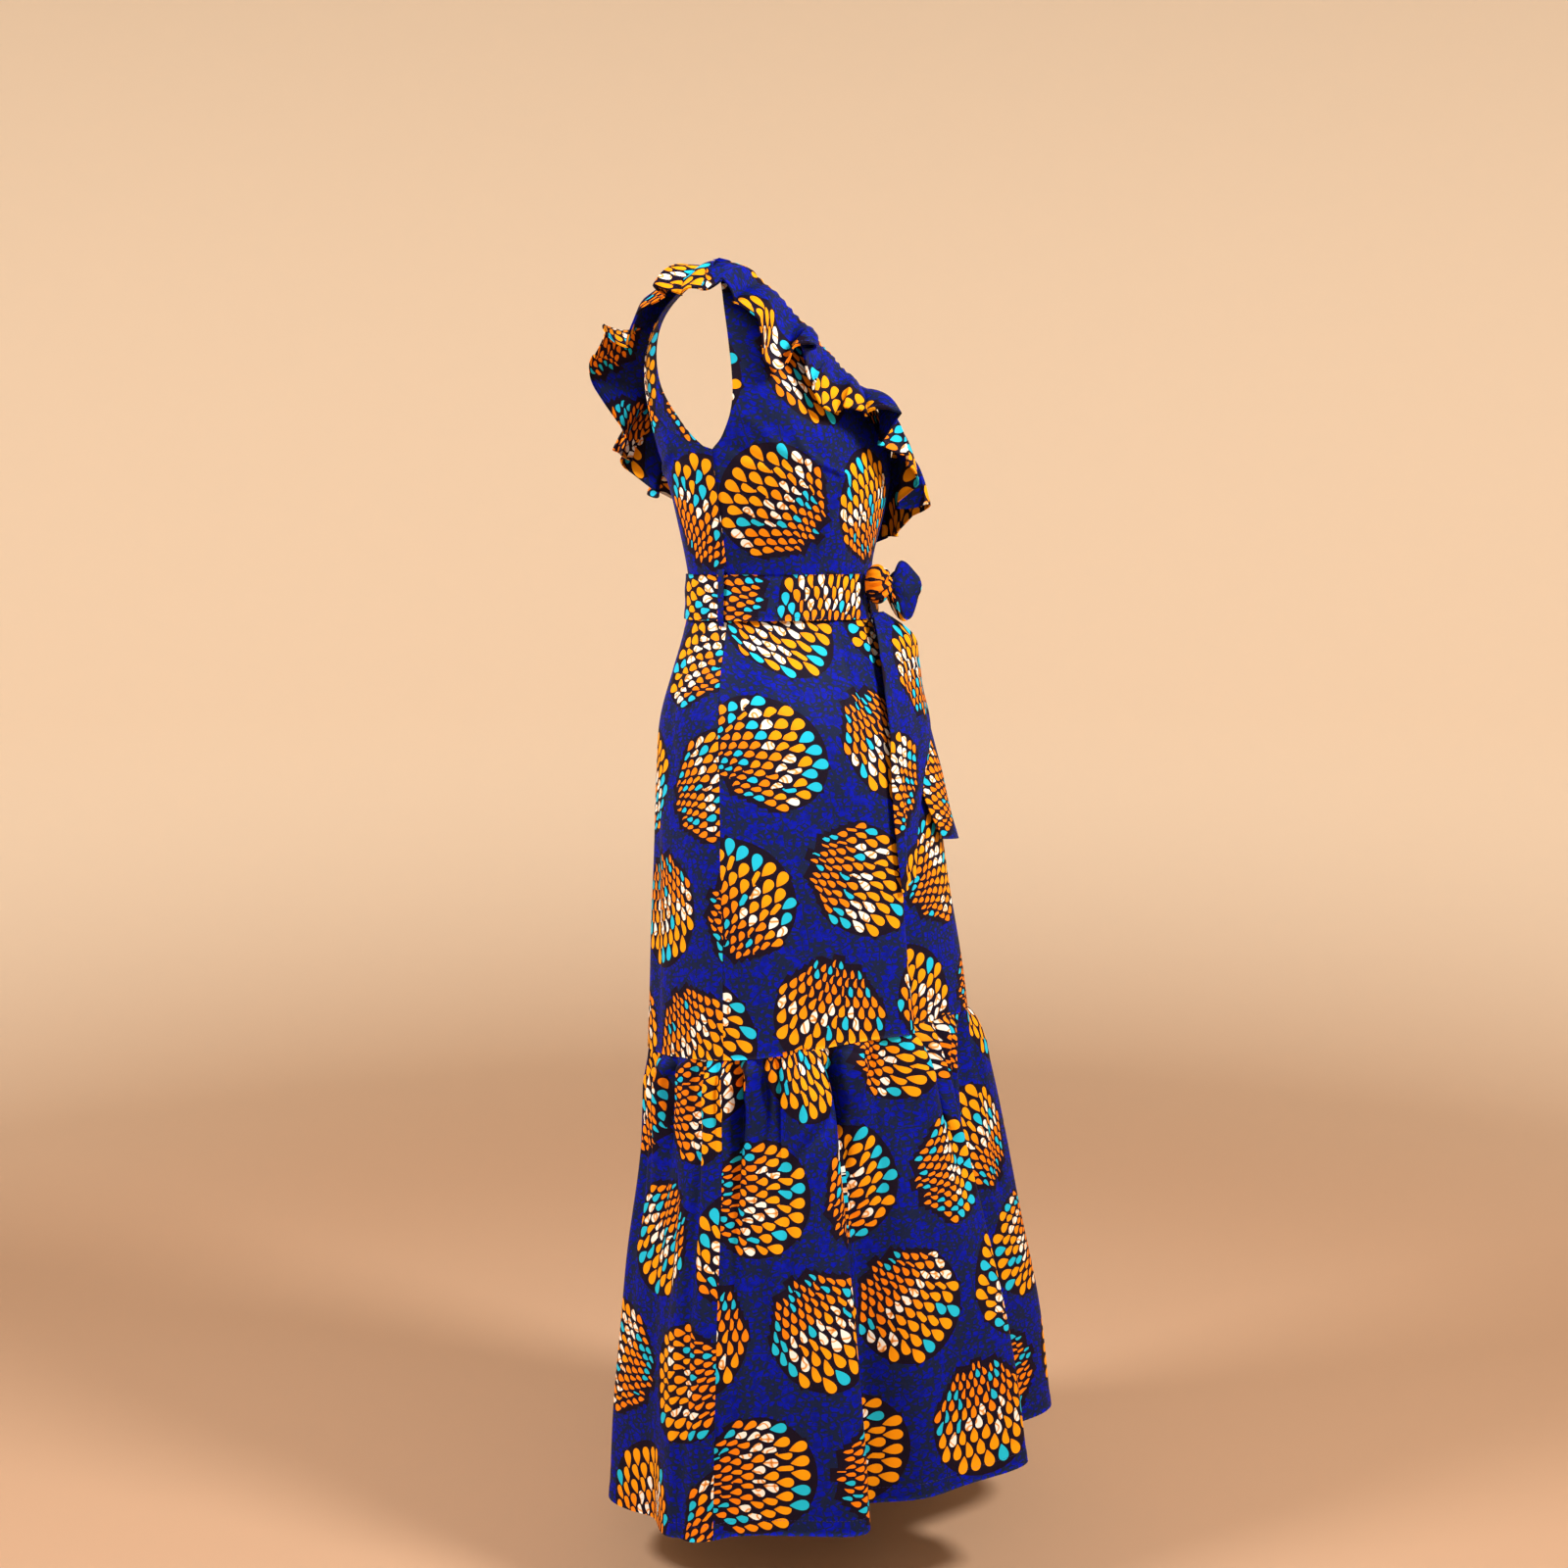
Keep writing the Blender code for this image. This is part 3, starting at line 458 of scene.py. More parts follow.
def bodice_point(row: np.ndarray, angle: np.ndarray) -> np.ndarray:
    """The inside of the bodice at a table row and an angle, from the body's axis.

    Args:
        row: the row, whole or not.
        angle: the angle.

    Returns:
        Points, in the broadcast shape of the two.
    """
    row, angle = np.broadcast_arrays(np.asarray(row, float), np.radians(angle))
    power = 2 / bodice_value(row, "squareness")
    sine, cosine = np.sin(angle), np.cos(angle)
    x = bodice_value(row, "side") * np.sign(sine) * np.abs(sine) ** power
    depth = np.where(cosine > 0, bodice_value(row, "front"), bodice_value(row, "back"))
    y = bodice_value(row, "centre") - depth * np.sign(cosine) * np.abs(cosine) ** power
    upper = np.clip((row - SLOPE_ROW) / (TOP_ROW - SLOPE_ROW), 0, 1) ** 2
    z = -bodice_value(row, "below") + upper * SHOULDER_SLOPE * np.minimum(x + SHOULDER_X, SHOULDER_X + NECK_X)
    return np.stack([x, y, z], axis=-1)


def bodice_row(height: Union[float, np.ndarray], top: float, samples: int) -> np.ndarray:
    """The table row at a height, read from finely spaced rows up to a top one."""
    rows = np.linspace(0, top, samples)
    return np.interp(height, -bodice_value(rows, "below"), rows)


def off_bodice(points: np.ndarray, clear: np.ndarray) -> np.ndarray:
    """Points moved away from the body's axis where they lie nearer than clear to the bodice's inside.

    Args:
        points: the points.
        clear: how far they have to stay off.

    Returns:
        The moved points.
    """
    row = bodice_row(points[..., 2], TOP_ROW, 600)
    power = bodice_value(row, "squareness")
    centre = bodice_value(row, "centre")
    x, y = points[..., 0], points[..., 1] - centre
    depth = np.where(y < 0, bodice_value(row, "front"), bodice_value(row, "back")) + clear
    side = bodice_value(row, "side") + clear
    level = (np.abs(x / side) ** power + np.abs(y / depth) ** power) ** (1 / power)
    grow = np.maximum(1 / np.maximum(level, 0.05), 1.0)
    return np.stack([x * grow, centre + y * grow, points[..., 2]], axis=-1)


def neckline_angle(row: np.ndarray, is_front: bool) -> np.ndarray:
    """Angle of the neckline's edge at a row, on the front or the back.

    Args:
        row: the bodice table's row, whole or not.
        is_front: which of the two.

    Returns:
        The angle at each row.
    """
    x = bodice_value(row, "neck_front" if is_front else "neck_back")
    share = np.clip(np.abs(x) / bodice_value(row, "side"), 0, 1)
    turn = np.degrees(np.arcsin(share ** (bodice_value(row, "squareness") / 2)))
    angle = np.where(row <= LEFT_TOP_ROW, 90.0, np.sign(x) * turn)
    return angle if is_front else 180.0 - angle


def armhole_angle(row: np.ndarray, is_front: bool) -> np.ndarray:
    """Angle of the right side seam or, above the underarm, of the armhole's edge.

    Args:
        row: the bodice table's row, whole or not.
        is_front: the front or the back.

    Returns:
        The angle at each row.
    """
    short = bodice_value(row, "arm_front" if is_front else "arm_back")
    short = short * np.sin(np.pi / 2 * np.clip((row - UNDERARM_ROW) / UNDERARM_ROUND, 0, 1)) ** UNDERARM_POWER
    return -90.0 + short if is_front else 270.0 - short


def apart(angle: np.ndarray, middle: Union[float, np.ndarray]) -> np.ndarray:
    """Degrees from a middle angle to an angle, the short way round."""
    return (angle - middle + 180.0) % 360.0 - 180.0


def fold_shape(angle: np.ndarray, share: np.ndarray, folds: Sequence[Fold]) -> np.ndarray:
    """How far the folds move the cloth out and sideways, at an angle and a share of the way down.

    Args:
        angle: the angle.
        share: 0 at the upper edge and 1 at the lower one.
        folds: the ridges and troughs.

    Returns:
        Metres out and metres sideways, stacked.
    """
    out, sideways = np.zeros_like(angle), np.zeros_like(angle)
    for fold in folds:
        middle = fold.top_angle + (fold.end_angle - fold.top_angle) * share * (2 - share)
        fall = np.exp(-((apart(angle, middle) / fold.width) ** 2) * FOLD_FALL)
        height = (fold.top + (fold.end - fold.top) * share) * fall
        out += height
        sideways += fold.lean * height
    return np.stack([out, sideways])


def ring_point(
    rings: Sequence[SkirtRing],
    below: np.ndarray,
    angle: np.ndarray,
    height: np.ndarray,
    sideways: Union[float, np.ndarray] = 0.0,
) -> np.ndarray:
    """A point of a skirt ring, moved out by a height and round by a distance, from the body's axis.

    Args:
        rings: the table of rings.
        below: how far under the shoulder seam.
        angle: the angle.
        height: metres out from the ring.
        sideways: metres round it.

    Returns:
        Points, in the broadcast shape of the inputs.
    """
    xs = column(rings, "below")
    front, back, side, centre, rise = (
        smooth(below, xs, column(rings, k)) for k in ("front", "back", "side", "centre", "rise")
    )
    turn = np.radians(angle) + sideways / side
    sine, cosine = np.sin(turn), np.cos(turn)
    depth = np.where(cosine > 0, front, back)
    x, y = (side + height) * sine, centre - (depth + height) * cosine
    return np.stack([x, y, -below + rise * cosine], axis=-1)


def panel_angles(is_front: bool, columns: int) -> np.ndarray:
    """Angles across a front or back panel, from the left side seam to the right one."""
    return np.linspace(90, -90, columns) if is_front else np.linspace(90, 270, columns)


def tier_shape(angle: np.ndarray, share: np.ndarray) -> tuple[np.ndarray, np.ndarray]:
    """How far the gathered tier stands off its rings, and how far it leans sideways.

    Args:
        angle: the angle.
        share: 0 at the seam and 1 at the hem.

    Returns:
        Metres out and metres sideways.
    """
    turn = np.radians(angle)
    seam = fold_shape(angle, np.ones_like(share), SKIRT_FOLDS)
    wide = np.sin(turn * GATHERS + GATHER_SPACING.at(turn))
    grown = np.clip(share / GATHER_GROWN, 0, 1)
    gathers = GATHER_DEEP * wide * varied(turn, GATHER_DEPTHS) * grown * np.exp(-share / GATHER_FADE)
    shape = seam * np.exp(-share * SEAM_FADE) + fold_shape(angle, share, TIER_FOLDS) * grown
    return shape[0] + gathers, shape[1]


def neckline_frame(share: np.ndarray, is_front: bool) -> tuple[np.ndarray, np.ndarray]:
    """Places along the neckline, from the shoulder seam to the left side seam, with outward normals.

    Args:
        share: shares of the neckline's length.
        is_front: the front or the back.

    Returns:
        The places and the normals.
    """
    fine = np.linspace(TOP_ROW, LEFT_TOP_ROW + NECK_END, 400)
    edge = bodice_point(fine, neckline_angle(fine, is_front))
    length = np.concatenate([[0], np.cumsum(np.linalg.norm(np.diff(edge, axis=0), axis=1))])
    distance = share * length[-1]
    ahead, behind = (
        np.stack([np.interp(distance + step, length, edge[:, k]) for k in range(3)], axis=-1)
        for step in (NECK_STEP, -NECK_STEP)
    )
    row = np.interp(distance, length, fine)
    angle = neckline_angle(row, is_front)
    place = bodice_point(row, angle)
    way = -1.0 if is_front else 1.0
    across = bodice_point(row, angle + way * NECK_ASIDE) - place
    return place, unit(np.cross(unit(ahead - behind), across) * way)


# ---------------------------------------------------------------- shells of cloth


def unit(vectors: np.ndarray) -> np.ndarray:
    """The vectors at length 1."""
    return vectors / np.maximum(np.linalg.norm(vectors, axis=-1, keepdims=True), 1e-12)


def normals_of(grid: np.ndarray) -> np.ndarray:
    """Unit normals of a grid of points, from its neighbours along both ways."""
    return unit(np.cross(np.gradient(grid, axis=1), np.gradient(grid, axis=0)))


def outward(grid: np.ndarray) -> np.ndarray:
    """Unit normals of a grid that is bent round the body, on its outer side."""
    normal = normals_of(grid)
    return normal if (normal * (grid - grid.mean(axis=(0, 1)))).sum() > 0 else -normal


def flat_cut(grid: np.ndarray, middle_column: int) -> np.ndarray:
    """The cloth's own coordinates in metres: across from a column, and down from the first row.

    Args:
        grid: points of the cloth, rows by columns.
        middle_column: the column that lies straight on the cloth.

    Returns:
        Coordinates across and down, rows by columns by two.
    """
    steps = np.linalg.norm(np.diff(grid, axis=1), axis=-1)
    across = np.concatenate([np.zeros((len(grid), 1)), np.cumsum(steps, axis=1)], axis=1)
    across -= across[:, middle_column : middle_column + 1]
    rises = np.linalg.norm(np.diff(grid, axis=0), axis=-1).mean(axis=1)
    down = np.concatenate([[0], np.cumsum(rises)])[:, None]
    return np.stack([across, -np.broadcast_to(down, across.shape)], axis=-1)


def strip_cut(grid: np.ndarray, deep: float) -> np.ndarray:
    """The coordinates of a gathered strip, measured along it at two thirds of its depth.

    Args:
        grid: points of the strip, from its seam to its free edge.
        deep: the strip's finished depth in metres.

    Returns:
        Coordinates across and down, rows by columns by two.
    """
    steps = np.linalg.norm(np.diff(grid[2 * len(grid) // 3], axis=0), axis=-1)
    across = np.concatenate([[0], np.cumsum(steps)])
    rises = np.linalg.norm(np.diff(grid, axis=0), axis=-1).mean(axis=1)
    down = deep * np.concatenate([[0], np.cumsum(rises)])[:, None] / rises.sum()
    return np.stack(np.broadcast_arrays(across[None, :], -down), axis=-1)


def bodice_cut(rows: np.ndarray, angle: np.ndarray, straight: float) -> np.ndarray:
    """The coordinates of a bodice panel, round each ring from the angle at which it lies straight.

    Args:
        rows: table rows, one for each row of the grid.
        angle: angles, rows by columns.
        straight: the angle of the straight line.

    Returns:
        Coordinates across and down, rows by columns by two.
    """
    fine = np.linspace(-200.0, 200.0, 801) + (180.0 if straight > 90 else 0.0)  # half a degree apart
    ring = bodice_point(rows[:, None], fine[None, :])
    around = np.cumsum(np.linalg.norm(np.diff(ring, axis=1, prepend=ring[:, :1]), axis=-1), axis=1)
    across = np.stack(
        [np.interp(a, fine, line) - np.interp(straight, fine, line) for a, line in zip(angle, around)]
    )
    profile = bodice_point(rows, np.full(len(rows), straight))
    down = np.concatenate([[0], np.cumsum(np.linalg.norm(np.diff(profile, axis=0), axis=-1))])
    return np.stack([-across, np.broadcast_to(-down[:, None], across.shape)], axis=-1)


CREASE_PAST = 0.15  # share of its length by which a crease runs on past each end
CREASE_RISE = 4.0  # how fast it rises there
WAVES = 7  # in the slight unevenness of a piece
WAVE_SLANT = 0.6  # how far they turn from running straight down
WAVE_PITCHES = (0.7, 0.8)  # the shortest against the named pitch, and how much longer they get


@dataclass(frozen=True)
class Crease:
    """A soft ridge or trough pressed into a piece, in shares across and down it."""

    across: float  # where it starts
    down: float
    to_across: float  # where it ends
    to_down: float
    width: float  # metres to either side
    height: float  # metres, less than 0 for a trough


def crease_height(flat: np.ndarray, creases: Sequence[Crease]) -> np.ndarray:
    """How far the creases move each point out.

    Args:
        flat: the cloth's own coordinates, from flat_cut.
        creases: the ridges and troughs.

    Returns:
        Metres out along the normal, rows by columns.
    """
    rows, cols = flat.shape[:2]
    out = np.zeros((rows, cols))

    def place(across: float, down: float) -> np.ndarray:
        """The cloth's coordinates at shares across and down it."""
        return flat[int(down * (rows - 1)), int(across * (cols - 1))]

    for crease in creases:
        start, end = place(crease.across, crease.down), place(crease.to_across, crease.to_down)
        along = end - start
        length = max(float(np.linalg.norm(along)), 1e-6)
        along = along / length
        reach = (flat - start) @ along / length
        side = (flat - start) @ np.array([-along[1], along[0]])
        ends = np.maximum(reach + CREASE_PAST, 0) * np.maximum(1 + CREASE_PAST - reach, 0)
        ends = np.clip(ends * CREASE_RISE, 0, 1) ** 2
        out += crease.height * ends * np.exp(-((side / crease.width) ** 2))
    return out


def unevenness(flat: np.ndarray, height: float, pitch: float, seed: int) -> np.ndarray:
    """The slight waviness of crisp cotton, a sum of a few long waves.

    Args:
        flat: the cloth's own coordinates.
        height: metres out and in.
        pitch: metres between waves.
        seed: which waves.

    Returns:
        Metres out along the normal.
    """
    dice = np.random.default_rng(seed)
    out = np.zeros(flat.shape[:2])
    for turn, stretch, phase in dice.random((WAVES, 3)):
        way = np.array([math.cos(turn * math.tau), WAVE_SLANT * math.sin(turn * math.tau)])
        shortest, longer = WAVE_PITCHES
        out += np.sin(flat @ way * math.tau / (pitch * (shortest + longer * stretch)) + phase * math.tau)
    return out * height / math.sqrt(WAVES)


def cloth_shell(
    name: str, middle: np.ndarray, flat: np.ndarray, offset: tuple[float, float], hem: float = 0.0
) -> bpy.types.Object:
    """A thin closed shell round a grid of points, with the cut as its UV map.

    Args:
        name: the object's name.
        middle: the middle of the cloth, rows by columns, from the body's axis.
        flat: the cloth's own coordinates.
        offset: where on the printed cloth the piece was cut.
        hem: depth of the turned-up hem along the last row, or 0 for none.

    Returns:
        The new object, at the origin.
    """
    rows, cols = middle.shape[:2]
    left = np.linalg.norm(np.diff(middle[::-1], axis=0), axis=-1).mean(axis=1)
    left = np.concatenate([[0], np.cumsum(left)])[::-1, None, None]
    half = outward(middle) * CLOTH / 2 * np.where(left < hem, HEM_LAYERS, 1.0)
    layers = np.stack([middle - half, middle + half]) + AXIS
    index = np.arange(2 * rows * cols).reshape(2, rows, cols)

    def quads(a: np.ndarray, b: np.ndarray, c: np.ndarray, d: np.ndarray) -> np.ndarray:
        """Faces of four corners each."""
        return np.stack([a, b, c, d], axis=-1).reshape(-1, 4)

    def sides(edge: np.ndarray) -> np.ndarray:
        """Faces that close the shell along an edge of both layers."""
        return quads(edge[0, :-1], edge[0, 1:], edge[1, 1:], edge[1, :-1])

    inner, outer = index
    faces = np.concatenate(
        [
            quads(outer[:-1, :-1], outer[1:, :-1], outer[1:, 1:], outer[:-1, 1:]),
            quads(inner[:-1, :-1], inner[:-1, 1:], inner[1:, 1:], inner[1:, :-1]),
            sides(index[:, ::-1, 0]),
            sides(index[:, :, -1]),
            sides(index[:, 0, :]),
            sides(index[:, -1, ::-1]),
        ]
    )
    return mesh_object(name, layers.reshape(-1, 3), faces, np.tile(flat.reshape(-1, 2), (2, 1)) + offset)


def mesh_object(name: str, points: np.ndarray, faces: np.ndarray, flat: np.ndarray) -> bpy.types.Object:
    """A smooth-shaded mesh object with a UV map in metres, its faces outwards.

    Args:
        name: the object's name.
        points: its vertices.
        faces: vertex numbers, a row for each face.
        flat: each vertex's UV.

    Returns:
        The new object, linked to the scene.
    """
    mesh = bpy.data.meshes.new(name)
    mesh.from_pydata(points.tolist(), [], faces.tolist())
    corners = np.empty(len(mesh.loops), np.int32)
    mesh.loops.foreach_get("vertex_index", corners)
    mesh.uv_layers.new(name="cut").data.foreach_set("uv", flat[corners].astype(np.float32).ravel())
    mesh.calc_loop_triangles()
    triangles = np.empty(len(mesh.loop_triangles) * 3, np.int32)
    mesh.loop_triangles.foreach_get("vertices", triangles)
    a, b, c = (points[triangles.reshape(-1, 3)[:, k]] for k in range(3))
    if (a * np.cross(b, c)).sum() < 0:
        mesh.flip_normals()
    mesh.shade_smooth()
    piece = bpy.data.objects.new(name, mesh)
    bpy.context.scene.collection.objects.link(piece)
    return piece


# ---------------------------------------------------------------- print


class Graph:
    """A material's nodes, added by writing sums."""

    def __init__(self, material: bpy.types.Material) -> None:
        """Starts with an empty tree."""
        material.use_nodes = True
        self.tree = material.node_tree
        self.tree.nodes.clear()

    def node(self, kind: str, **settings: object) -> bpy.types.Node:
        """A new node.

        Args:
            kind: its type.
            settings: its properties.

        Returns:
            The node.
        """
        made = self.tree.nodes.new(kind)
        for key, value in settings.items():
            setattr(made, key, value)
        return made

    def feed(self, socket: bpy.types.NodeSocket, value: "Feed") -> None:
        """Sets an input.

        Args:
            socket: the input.
            value: a number or a colour to set, or a term to link.
        """
        if isinstance(value, Term):
            self.tree.links.new(value.socket, socket)
        else:
            socket.default_value = value

    def term(self, kind: str, output: "Key", inputs: dict["Key", "Feed"], **settings: object) -> "Term":
        """One output of a new node.

        Args:
            kind: the node's type.
            output: the output's name or number.
            inputs: what goes into its inputs, by name or number.
            settings: its properties.

        Returns:
            The output.
        """
        made = self.node(kind, **settings)
        for key, value in inputs.items():
            self.feed(made.inputs[key], value)
        return Term(self, made.outputs[output])

    def math(self, operation: str, *values: "Feed") -> "Term":
        """One Math node."""
        return self.term("ShaderNodeMath", 0, dict(enumerate(values)), operation=operation)

    def join(self, x: "Feed", y: "Feed", z: "Feed" = 0.0) -> "Term":
        """Three numbers as one vector."""
        return self.term("ShaderNodeCombineXYZ", 0, {"X": x, "Y": y, "Z": z})

    def split(self, value: "Term") -> tuple["Term", ...]:
        """A vector or a colour as three numbers."""
        first = self.term("ShaderNodeSeparateXYZ", 0, {0: value})
        return tuple(Term(self, output) for output in first.socket.node.outputs)

    def dice(self, x: "Feed", y: "Feed", z: "Feed") -> tuple["Term", ...]:
        """Three fixed random numbers for a cell."""
        cell = {"Vector": self.join(x, y, z)}
        return self.split(self.term("ShaderNodeTexWhiteNoise", "Color", cell, noise_dimensions="3D"))

    def object_place(self) -> "Term":
        """The place in the object's own coordinates."""
        return self.term("ShaderNodeTexCoord", "Object", {})

    def noise(self, place: "Term", scale: float, detail: float = 2.0) -> "Term":
        """Soft noise from 0 to 1, of so many waves to a metre."""
        inputs = {"Vector": place, "Scale": scale, "Detail": detail}
        return self.term("ShaderNodeTexNoise", "Fac", inputs, noise_dimensions="3D")

    def stray(self, place: "Term", scale: float, size: float) -> "Term":
        """Soft noise to either side of 0, its ends a size apart."""
        return (self.noise(place, scale) - 0.5) * size

    def cracks(self, place: "Term", scale: float) -> "Term":
        """Distance to the borders of scattered cells, 0 on a border."""
        settings = {"feature": "DISTANCE_TO_EDGE", "voronoi_dimensions": "2D"}
        return self.term("ShaderNodeTexVoronoi", "Distance", {"Vector": place, "Scale": scale}, **settings)

    def ramp(self, value: "Term", low: float, high: float) -> "Term":
        """0 below low, 1 above high and smooth between."""
        inputs = {"Value": value, "From Min": low, "From Max": high}
        return self.term("ShaderNodeMapRange", "Result", inputs, interpolation_type="SMOOTHSTEP")

    def mix(self, share: "Feed", a: "Feed", b: "Feed") -> "Term":
        """Colour a at share 0, b at share 1."""
        return self.term("ShaderNodeMix", 2, {"Factor": share, 6: a, 7: b}, data_type="RGBA")

    def finish(self, colour: "Term", **settings: float) -> bpy.types.Node:
        """The surface's shader, with its colour and its other inputs set.

        Args:
            colour: the base colour.
            settings: numbers for other inputs, named in lower case with underscores.

        Returns:
            The shader, linked to the material's output.
        """
        shader = self.node("ShaderNodeBsdfPrincipled")
        self.feed(shader.inputs["Base Color"], colour)
        for socket in shader.inputs:
            key = socket.name.lower().replace(" ", "_")
            if key in settings:
                socket.default_value = settings[key]
        out = self.node("ShaderNodeOutputMaterial")
        self.tree.links.new(shader.outputs[0], out.inputs["Surface"])
        return shader


@dataclass(frozen=True)
class Term:
    """The output of a node, with arithmetic that adds Math nodes."""

    graph: Graph
    socket: bpy.types.NodeSocket

    def __add__(self, other: "Feed") -> "Term":
        """Sum."""
        return self.graph.math("ADD", self, other)

    def __sub__(self, other: "Feed") -> "Term":
        """Difference."""
        return self.graph.math("SUBTRACT", self, other)

    def __rsub__(self, other: "Feed") -> "Term":
        """Difference from a number."""
        return self.graph.math("SUBTRACT", other, self)

    def __mul__(self, other: "Feed") -> "Term":
        """Product."""
        return self.graph.math("MULTIPLY", self, other)

    def __truediv__(self, other: "Feed") -> "Term":
        """Quotient."""
        return self.graph.math("DIVIDE", self, other)

    def __rtruediv__(self, other: "Feed") -> "Term":
        """A number divided by this."""
        return self.graph.math("DIVIDE", other, self)

    def __pow__(self, other: "Feed") -> "Term":
        """Power."""
        return self.graph.math("POWER", self, other)

    def __gt__(self, other: "Feed") -> "Term":
        """1 where greater."""
        return self.graph.math("GREATER_THAN", self, other)

    def __lt__(self, other: "Feed") -> "Term":
        """1 where less."""
        return self.graph.math("LESS_THAN", self, other)

    def floor(self) -> "Term":
        """Whole number below."""
        return self.graph.math("FLOOR", self)


Colour = tuple[float, float, float, float]
Feed = Union[Term, float, Colour]
Key = Union[int, str]


@dataclass(frozen=True)
class Dye:
    """The colours that the cloth is printed in."""

    ground: Colour
    ground_deep: Colour
    crackle: Colour
    dark: Colour
    orange: Colour
    amber: Colour
    white: Colour
    rust: Colour
    turquoise: Colour


@dataclass(frozen=True)
class Motif:
    """Sizes of the print's fans of drops, which fill rough discs in a half-step repeat."""

    pitch_across: float = 0.156
    pitch_down: float = 0.154
    jitter: float = 0.004  # how far a disc strays from its place
    radius: float = 0.068
    focus: float = 2.6  # the point the drops fan out from, in radii from the disc's middle
    growth: float = 1.081  # each row of drops against the row before
    spread: float = 0.073  # angle of one drop, in radians
    tail: float = 0.32  # how far a drop's tail reaches into the row before
    fullness: float = 1.06  # a drop's width against its slot
    bend: float = 0.5  # how far its tail strays, in slots
    outline: float = 0.0009  # dark line round each drop
    rim: float = 0.0030  # dark border round the fan
    disc: float = 0.90  # drops past this are left out, as a share of the radius squared
    seed: float = 3.7  # which random places and turns the fans have
    fans_apart: float = 7.0  # what tells the random numbers of one fan from the next one's


@dataclass(frozen=True)
class Tints:
    """How the colours are shared out among a fan's drops, in shares unless it says otherwise."""

    turquoise: float = 0.07  # of the drops
    turquoise_rim: float = 0.20  # and of those near the fan's rim as well
    rim_from: float = 0.50  # of the radius squared
    amber_range: tuple[float, float] = (0.25, 0.60)  # up the fan, from orange to amber
    amber_stray: float = 0.25
    rust_range: tuple[float, float] = (0.55, 0.10)  # along a drop, towards its tail
    rust: float = 0.35
    belt: float = 0.12  # half the depth of the belt of pale drops
    belt_stray: float = 0.10
    belt_gaps: float = 0.42  # of the belt's drops that stay plain
    stain_pitch: float = 95.0  # stains in a pale drop, to a metre
    stain_range: tuple[float, float] = (0.085, 0.030)
    stain: float = 0.85
    core_range: tuple[float, float] = (0.022, 0.008)
    core: float = 0.8


@dataclass(frozen=True)
class Crackle:
    """The dark marks of broken wax on the ground. Paces are numbers to a metre."""

    across: float = 118.0  # dashes
    down: float = 170.0
    across_stray: tuple[float, float] = (240.0, 0.0050)  # pace and size
    down_stray: tuple[float, float] = (170.0, 0.0040)
    smear: float = 62.0  # places where the dashes run together
    smear_range: tuple[float, float] = (0.34, 0.70)
    dash: float = 0.04  # half width of a thin dash, in cells
    dash_smeared: float = 0.36  # how much wider it is in a smear
    dash_range: tuple[float, float] = (-0.05, 0.06)
    vein: float = 17.0
    vein_range: tuple[float, float] = (0.006, 0.026)
    vein_across: tuple[float, float] = (30.0, 0.012)
    vein_down: tuple[float, float] = (24.0, 0.012)
    patch: float = 130.0  # deeper blue
    patch_range: tuple[float, float] = (0.40, 0.62)
    patch_share: float = 0.85


@dataclass(frozen=True)
class Cotton:
    """Finish of the printed cloth."""

    roughness: float = 0.62
    specular: float = 0.05
    weave_pitch: float = 0.00055
    weave_bump: float = 0.10
    weave_deep: float = 0.0002
    yarn_pace: float = 900.0  # lumps in the yarns, to a metre
    yarn_lumps: float = 1.2  # their height against the weave's


WAX_DYES = Dye(
    ground=(0.002, 0.007, 0.400, 1.0),
    ground_deep=(0.002, 0.007, 0.190, 1.0),
    crackle=(0.008, 0.014, 0.050, 1.0),
    dark=(0.009, 0.005, 0.014, 1.0),
    orange=(0.890, 0.215, 0.004, 1.0),
    amber=(0.920, 0.335, 0.004, 1.0),
    white=(0.880, 0.870, 0.800, 1.0),
    rust=(0.480, 0.130, 0.006, 1.0),
    turquoise=(0.015, 0.500, 0.720, 1.0),
)


@dataclass(frozen=True)
class FanSpot:
    """A place on the cloth, seen from the focus of the fan that it lies in."""

    fan: Term  # a number of the fan's own
    reach: Term
    angle: Term


